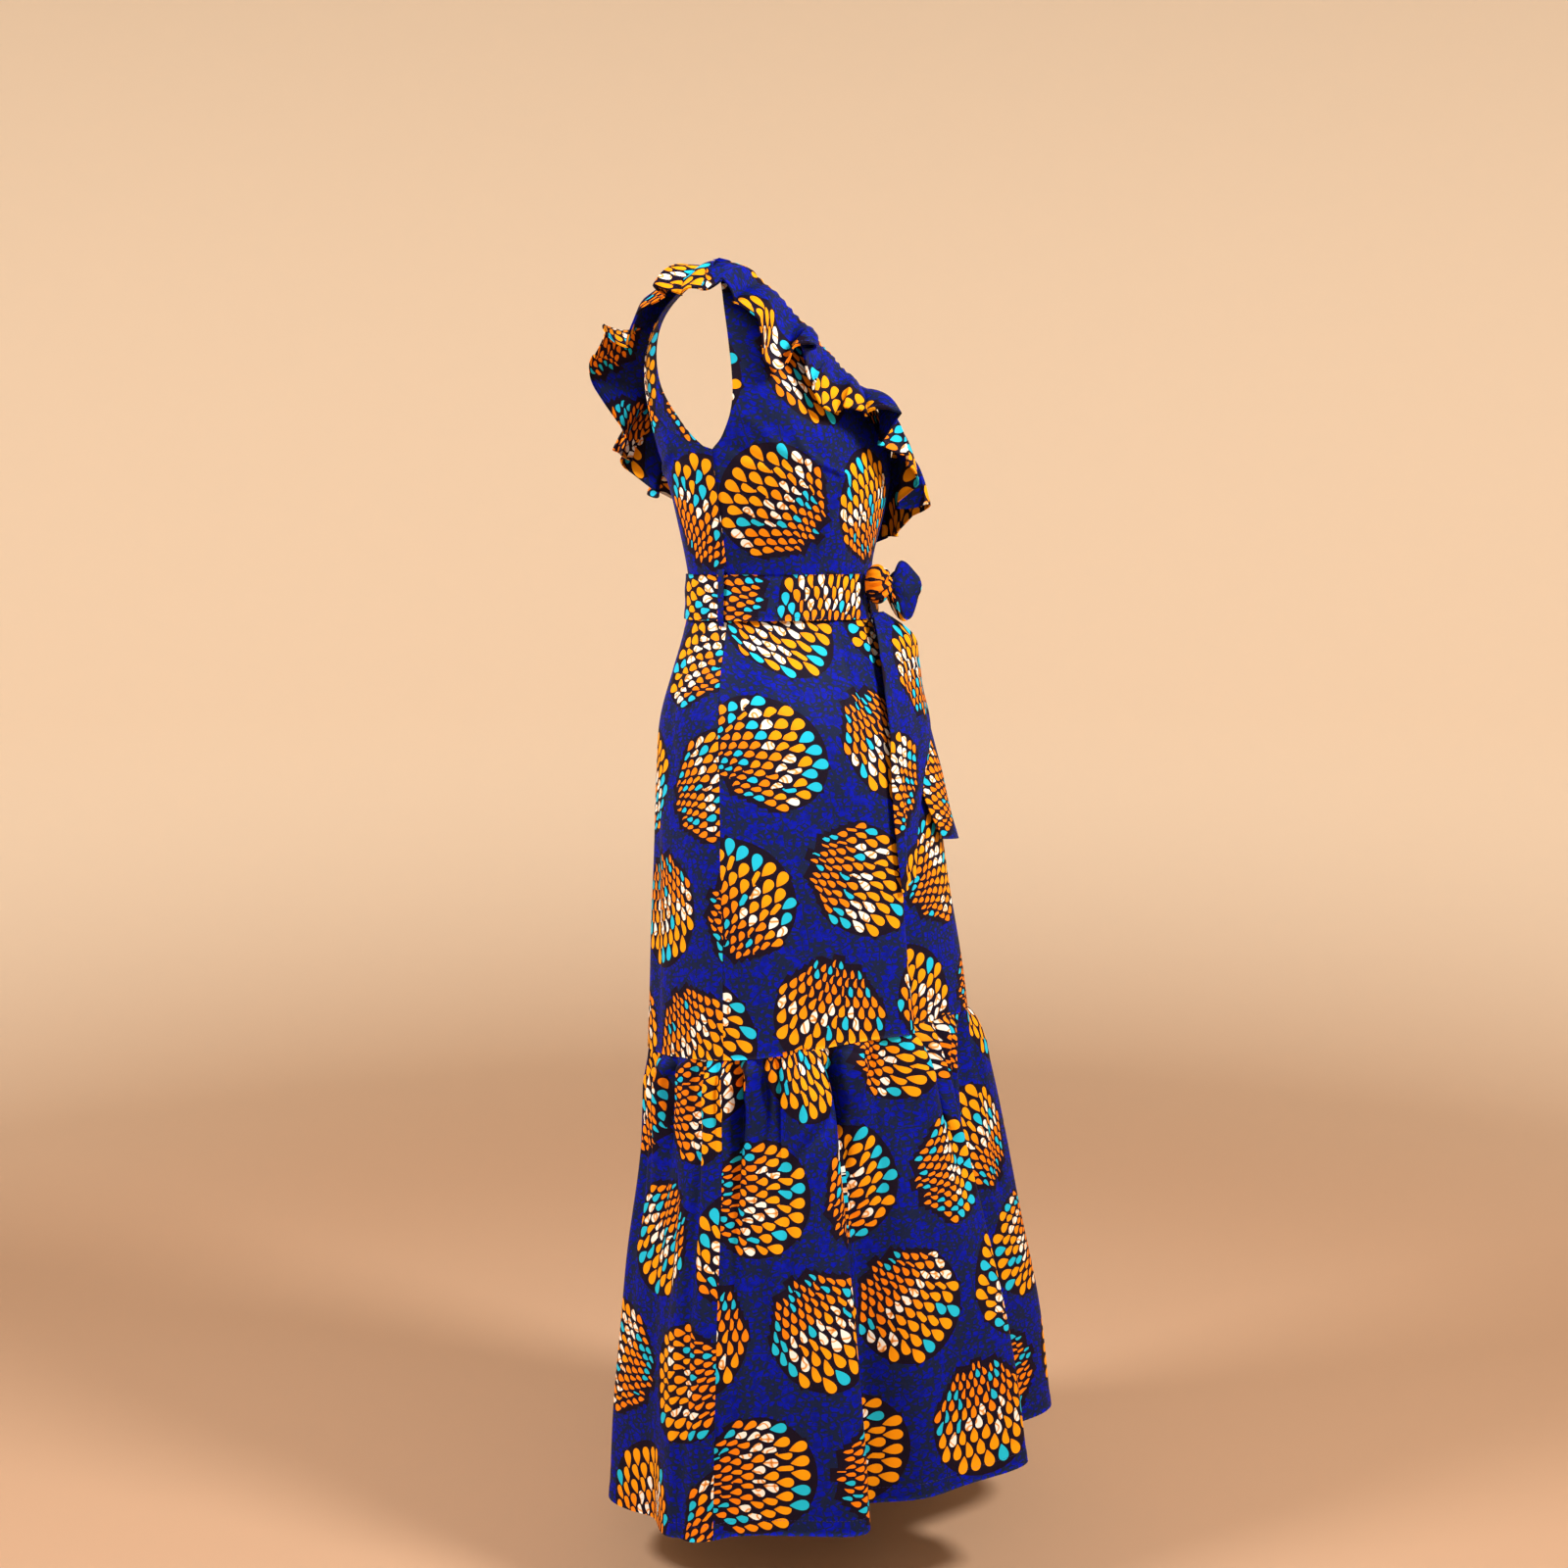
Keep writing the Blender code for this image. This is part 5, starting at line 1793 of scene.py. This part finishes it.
class Sewing:
    """Rows of stitches near the hems and free edges of the pieces."""

    def __init__(self, thread: Thread) -> None:
        """Makes the thread's material and the stitch nodes."""
        self.thread = thread
        self.material = bpy.data.materials.new("sewing_thread")
        graph = Graph(self.material)
        shade = graph.noise(graph.object_place(), thread.shade_pace)
        graph.finish(graph.mix(shade, thread.colour, thread.shade), roughness=thread.roughness)
        self.nodes = self.stitch_nodes()

    def stitch_nodes(self) -> bpy.types.GeometryNodeTree:
        """A node group that lays a short thread at every pitch of a curve.

        Returns:
            The node group.
        """
        tree = bpy.data.node_groups.new("stitch_row", "GeometryNodeTree")
        tree.interface.new_socket("Geometry", in_out="INPUT", socket_type="NodeSocketGeometry")
        for name in ("Pitch", "Length", "Thick"):
            tree.interface.new_socket(name, in_out="INPUT", socket_type="NodeSocketFloat")
        tree.interface.new_socket("Material", in_out="INPUT", socket_type="NodeSocketMaterial")
        tree.interface.new_socket("Geometry", in_out="OUTPUT", socket_type="NodeSocketGeometry")
        new, link = tree.nodes.new, tree.links.new
        source, result = new("NodeGroupInput"), new("NodeGroupOutput")
        spaced = new("GeometryNodeResampleCurve")
        spaced.mode = "LENGTH"
        link(source.outputs["Geometry"], spaced.inputs["Curve"])
        link(source.outputs["Pitch"], spaced.inputs["Length"])
        stitch = new("GeometryNodeMeshUVSphere")
        stitch.inputs["Segments"].default_value = self.thread.sides
        stitch.inputs["Rings"].default_value = self.thread.rings
        stitch.inputs["Radius"].default_value = 0.5
        tangent, turned = new("GeometryNodeInputTangent"), new("FunctionNodeAlignRotationToVector")
        turned.axis = "Z"
        link(tangent.outputs[0], turned.inputs["Vector"])
        size = new("ShaderNodeCombineXYZ")
        link(source.outputs["Thick"], size.inputs["X"])
        link(source.outputs["Thick"], size.inputs["Y"])
        link(source.outputs["Length"], size.inputs["Z"])
        laid = new("GeometryNodeInstanceOnPoints")
        link(spaced.outputs[0], laid.inputs["Points"])
        link(stitch.outputs["Mesh"], laid.inputs["Instance"])
        link(turned.outputs[0], laid.inputs["Rotation"])
        link(size.outputs[0], laid.inputs["Scale"])
        real, painted = new("GeometryNodeRealizeInstances"), new("GeometryNodeSetMaterial")
        link(laid.outputs[0], real.inputs[0])
        link(real.outputs[0], painted.inputs["Geometry"])
        link(source.outputs["Material"], painted.inputs["Material"])
        link(painted.outputs[0], result.inputs[0])
        return tree

    def row(self, name: str, points: np.ndarray) -> bpy.types.Object:
        """Sews one row.

        Args:
            name: the object's name.
            points: places along the row, from the body's axis.

        Returns:
            The stitches as one mesh object that rides on the dress.
        """
        path = bpy.data.curves.new(name, "CURVE")
        path.dimensions = "3D"
        spline = path.splines.new("POLY")
        spline.points.add(len(points) - 1)
        for spot, place in zip(spline.points, points + AXIS):
            spot.co = (*place, 1.0)
        carrier = bpy.data.objects.new(name + "_path", path)
        bpy.context.scene.collection.objects.link(carrier)
        modifier = carrier.modifiers.new("stitches", "NODES")
        modifier.node_group = self.nodes
        thread = self.thread
        values = {
            "Pitch": thread.pitch,
            "Length": thread.length,
            "Thick": thread.thick,
            "Material": self.material,
        }
        for item in self.nodes.interface.items_tree:
            if item.name in values:
                modifier[item.identifier] = values[item.name]
        graph = bpy.context.evaluated_depsgraph_get()
        mesh = bpy.data.meshes.new_from_object(carrier.evaluated_get(graph))
        bpy.data.objects.remove(carrier)
        stitches = bpy.data.objects.new(name, mesh)
        bpy.context.scene.collection.objects.link(stitches)
        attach(stitches, BODY)
        LOG.info("%s: %d faces", name, len(mesh.polygons))
        return stitches

    def along(self, piece: Piece) -> bpy.types.Object:
        """A row on a piece's outer side, where it is sewn near its lower or free edge.

        Args:
            piece: the piece.

        Returns:
            The stitches.
        """
        grid = piece.grid()
        lengths = np.cumsum(np.linalg.norm(np.diff(grid[::-1], axis=0), axis=-1).mean(axis=1))
        at = len(grid) - 2 - int(np.searchsorted(lengths, piece.stitched))
        line = grid[at] + outward(grid)[at] * (CLOTH / 2 + self.thread.thick / 4)
        return self.row(piece.node + "_stitches", line)


# ---------------------------------------------------------------- studio


@dataclass(frozen=True)
class Lamp:
    """One soft light."""

    name: str
    azimuth: float
    up: float  # above the dress's middle
    away: float
    size: float
    power: float
    colour: tuple[float, float, float] = (1.0, 1.0, 1.0)


LAMPS = (
    Lamp("key", -6.0, 1.9, 1.9, 0.6, 82.0, (1.0, 0.98, 0.95)),
    Lamp("back", -130.0, 1.8, 2.0, 0.7, 70.0),
    Lamp("front", -62.0, 1.2, 2.8, 1.4, 8.0),
)


@dataclass(frozen=True)
class Studio:
    """Floor, backdrop, lights and camera."""

    azimuth: float = -64.0
    distance: float = 2.65
    camera_z: float = -0.315
    pitch: float = 6.17  # how far the camera looks down
    lens: float = 50.0  # millimetres, as is the sensor
    sensor: float = 36.0
    side_pixels: int = 1600  # the picture's side
    axis_pixel: float = 797.0  # where the body's axis stands in it
    floor_z: float = -1.53
    sweep: float = 3.2  # from the dress to the backdrop
    bend: float = 0.8  # radius between the floor and the backdrop
    tall: float = 4.5  # the backdrop
    points_round: int = 97
    points_up: int = 13  # in its bend
    # painted light and shade: the plain paper is painted darker near the dress and low down, and paler higher
    # up and far off
    paper_near_painted_shade: Colour = (0.50, 0.31, 0.19, 1.0)
    paper_far_painted_light: Colour = (0.87, 0.73, 0.56, 1.0)
    paper_painted_shade_range: tuple[float, float] = (0.6, 2.2)  # height over which the painted shade turns to painted light
    paper_away: float = 0.45  # what a metre of distance adds to that height
    paper_roughness: float = 0.9
    middle_z: float = -0.75  # the dress's middle, at which the lamps point
    surround: Colour = (1.0, 0.96, 0.90, 1.0)
    surround_power: float = 0.08

    def camera(self) -> None:
        """The camera at the dress's shown angle."""
        data = bpy.data.cameras.new("camera")
        data.lens, data.sensor_width = self.lens, self.sensor
        data.shift_x = (self.side_pixels / 2 - self.axis_pixel) / self.side_pixels
        view = bpy.data.objects.new("camera", data)
        turn = math.radians(self.azimuth)
        view.location = (
            SHOULDER_X + self.distance * math.sin(turn),
            -SEAM_BACK - self.distance * math.cos(turn),
            self.camera_z,
        )
        view.rotation_euler = (math.radians(90 - self.pitch), 0.0, turn)
        bpy.context.scene.collection.objects.link(view)
        bpy.context.scene.camera = view

    def floor(self) -> None:
        """A floor that sweeps up behind the dress, its paper painted with shade: darker near the dress and
        low down, paler with height and distance.
        """
        around = np.linspace(-math.pi, math.pi, self.points_round)
        flat = self.sweep - self.bend
        profile = [(0.0, 0.0), (flat, 0.0)]
        for slope in np.linspace(0, math.pi / 2, self.points_up)[1:]:
            profile.append((flat + self.bend * math.sin(slope), self.bend * (1 - math.cos(slope))))
        profile.append((self.sweep, self.tall))
        points = [
            (radius * math.cos(turn) + SHOULDER_X, radius * math.sin(turn), self.floor_z + up)
            for radius, up in profile
            for turn in around
        ]
        faces = [
            (i, i + 1, i + self.points_round + 1, i + self.points_round)
            for row in range(len(profile) - 1)
            for i in range(row * self.points_round, (row + 1) * self.points_round - 1)
        ]
        mesh = bpy.data.meshes.new("floor")
        mesh.from_pydata(points, [], faces)
        mesh.shade_smooth()
        mesh.materials.append(self.paper())
        sheet = bpy.data.objects.new("floor", mesh)
        bpy.context.scene.collection.objects.link(sheet)

    def paper(self) -> bpy.types.Material:
        """The backdrop's material, with painted shade near the dress and low down and painted light higher up
        and far off.

        Returns:
            The material.
        """
        material = bpy.data.materials.new("paper")
        graph = Graph(material)
        x, y, z = graph.split(graph.object_place())
        # painted shade and light: the paper's colour darkens towards the dress and the floor and pales with
        # height and distance
        away = ((x - SHOULDER_X) * (x - SHOULDER_X) + y * y) ** 0.5 * self.paper_away + z - self.floor_z
        far = graph.ramp(away, *self.paper_painted_shade_range)
        graph.finish(graph.mix(far, self.paper_near_painted_shade, self.paper_far_painted_light), roughness=self.paper_roughness)
        return material

    def lights(self, lamps: Sequence[Lamp]) -> None:
        """Large soft lights round the dress, and a pale surround.

        Args:
            lamps: the lights.
        """
        middle = Vector((SHOULDER_X, 0.0, self.middle_z))
        for lamp in lamps:
            data = bpy.data.lights.new(lamp.name, "AREA")
            data.shape, data.size, data.energy, data.color = "DISK", lamp.size, lamp.power, lamp.colour
            light = bpy.data.objects.new(lamp.name, data)
            turn = math.radians(lamp.azimuth)
            x, y = lamp.away * math.sin(turn), -lamp.away * math.cos(turn)
            light.location = middle + Vector((x, y, lamp.up))
            light.rotation_euler = (middle - light.location).to_track_quat("-Z", "Y").to_euler()
            bpy.context.scene.collection.objects.link(light)
        world = bpy.data.worlds.new("surround")
        world.use_nodes = True
        background = world.node_tree.nodes["Background"]
        background.inputs["Color"].default_value = self.surround
        background.inputs["Strength"].default_value = self.surround_power
        bpy.context.scene.world = world


# ---------------------------------------------------------------- the dress

FRONT_BODICE_CREASES = (
    Crease(0.72, 0.98, 0.66, 0.62, 0.006, 0.0035),
    Crease(0.55, 0.99, 0.52, 0.80, 0.007, -0.0022),
    Crease(0.97, 0.55, 0.60, 0.80, 0.009, 0.0022),
    Crease(0.99, 0.62, 0.72, 0.92, 0.008, -0.0018),
)
BACK_BODICE_CREASES = (
    Crease(0.97, 0.58, 0.60, 0.84, 0.010, 0.0025),
    Crease(0.40, 0.99, 0.44, 0.72, 0.008, -0.0025),
)
SKIRT_CREASES = (
    Crease(0.62, 0.02, 0.66, 0.30, 0.007, 0.0020),
    Crease(0.80, 0.02, 0.84, 0.40, 0.010, -0.0020),
    Crease(0.35, 0.02, 0.30, 0.35, 0.010, 0.0020),
    Crease(0.74, 0.45, 0.76, 0.99, 0.016, -0.0030),
)
TIER_CREASES = (
    Crease(0.86, 0.05, 0.88, 0.60, 0.010, -0.0040),
    Crease(0.76, 0.04, 0.75, 0.50, 0.009, -0.0040),
    Crease(0.58, 0.03, 0.56, 0.35, 0.009, 0.0050),
    Crease(0.40, 0.04, 0.41, 0.55, 0.010, -0.0040),
    Crease(0.22, 0.05, 0.20, 0.60, 0.010, -0.0040),
)


CUTS = {
    "bodice_front": Cut(0.36, 0.40, 0.110, (0.051, 0.058), Held.STRETCHED),
    "bodice_back": Cut(0.34, 0.40, 0.090, (1.469, 0.249), Held.STRETCHED),
    "ruffle_front": Cut(0.60, 0.09, 0.052, (2.770, 0.185), Held.GATHERED),
    "ruffle_back": Cut(0.64, 0.09, 0.057, (3.381, 0.627), Held.GATHERED),
    "skirt_front": Cut(0.66, 0.53, 0.290, (4.157, 0.111), Held.HUNG),
    "skirt_back": Cut(0.66, 0.53, 0.300, (5.504, 0.762), Held.HUNG),
    "tier_front": Cut(0.90, 0.54, 0.480, (6.934, 0.399), Held.GATHERED),
    "tier_back": Cut(0.90, 0.54, 0.470, (8.100, 0.910), Held.GATHERED),
    "sash_band": Cut(0.78, 0.053, 0.0413, (9.984, -0.052), Held.STRETCHED),
    "sash_knot": Cut(0.05, 0.05, 0.0025, (10.960, 1.640), Held.FOLDED),
    "sash_loop_left": Cut(0.08, 0.060, 0.0040, (11.258, 0.145), Held.FOLDED),
    "sash_tail_right": Cut(0.11, 0.34, 0.031, (11.280, 1.082), Held.HUNG),
    "sash_tail_left": Cut(0.12, 0.29, 0.029, (12.837, 0.765), Held.HUNG),
    "belt_loop_left": Cut(0.010, 0.067, 0.0006, (11.236, 1.020), Held.STRETCHED),
    "belt_loop_right": Cut(0.010, 0.067, 0.0006, (11.236, 1.045), Held.STRETCHED),
}


def dress_pieces() -> list[Piece]:
    """All the pieces of the dress, in the order they are sewn."""
    waist = ("sash_band_cloth",)
    return [
        Bodice("bodice_front", (), True, FRONT_BODICE_CREASES),
        Bodice("bodice_back", (), False, BACK_BODICE_CREASES),
        Ruffle("ruffle_front", (), True, FRONT_FLOUNCES),
        Ruffle("ruffle_back", (), False, BACK_FLOUNCES),
        Skirt("skirt_front", waist, True, SKIRT_CREASES),
        Skirt("skirt_back", waist, False, SKIRT_CREASES),
        Tier("tier_front", ("skirt_front_cloth",), True, TIER_CREASES),
        Tier("tier_back", ("skirt_back_cloth",), False, TIER_CREASES),
        Band("sash_band"),
        Knot("sash_knot"),
        Loop("sash_loop_left"),
        Tail("sash_tail_right", waist, TAIL_RIGHT_ROWS),
        Tail("sash_tail_left", waist, TAIL_LEFT_ROWS),
        Strap("belt_loop_left", (), 1),
        Strap("belt_loop_right", (), -1),
    ]


def main() -> None:
    """Builds the dress, the light and the camera."""
    logging.basicConfig(level=logging.INFO, format="%(name)s: %(message)s")
    studio = Studio()
    studio.camera()
    studio.floor()
    studio.lights(LAMPS)
    bpy.context.scene.view_settings.view_transform = "Standard"
    cotton = WaxPrint(WAX_DYES, Motif(), Tints(), Crackle(), Cotton()).material()
    sewing = Sewing(Thread())
    for piece in dress_pieces():
        piece.mesh()
        piece.dress(cotton, [sewing.along(piece)] if piece.stitched else [])


if __name__ == "__main__":
    main()
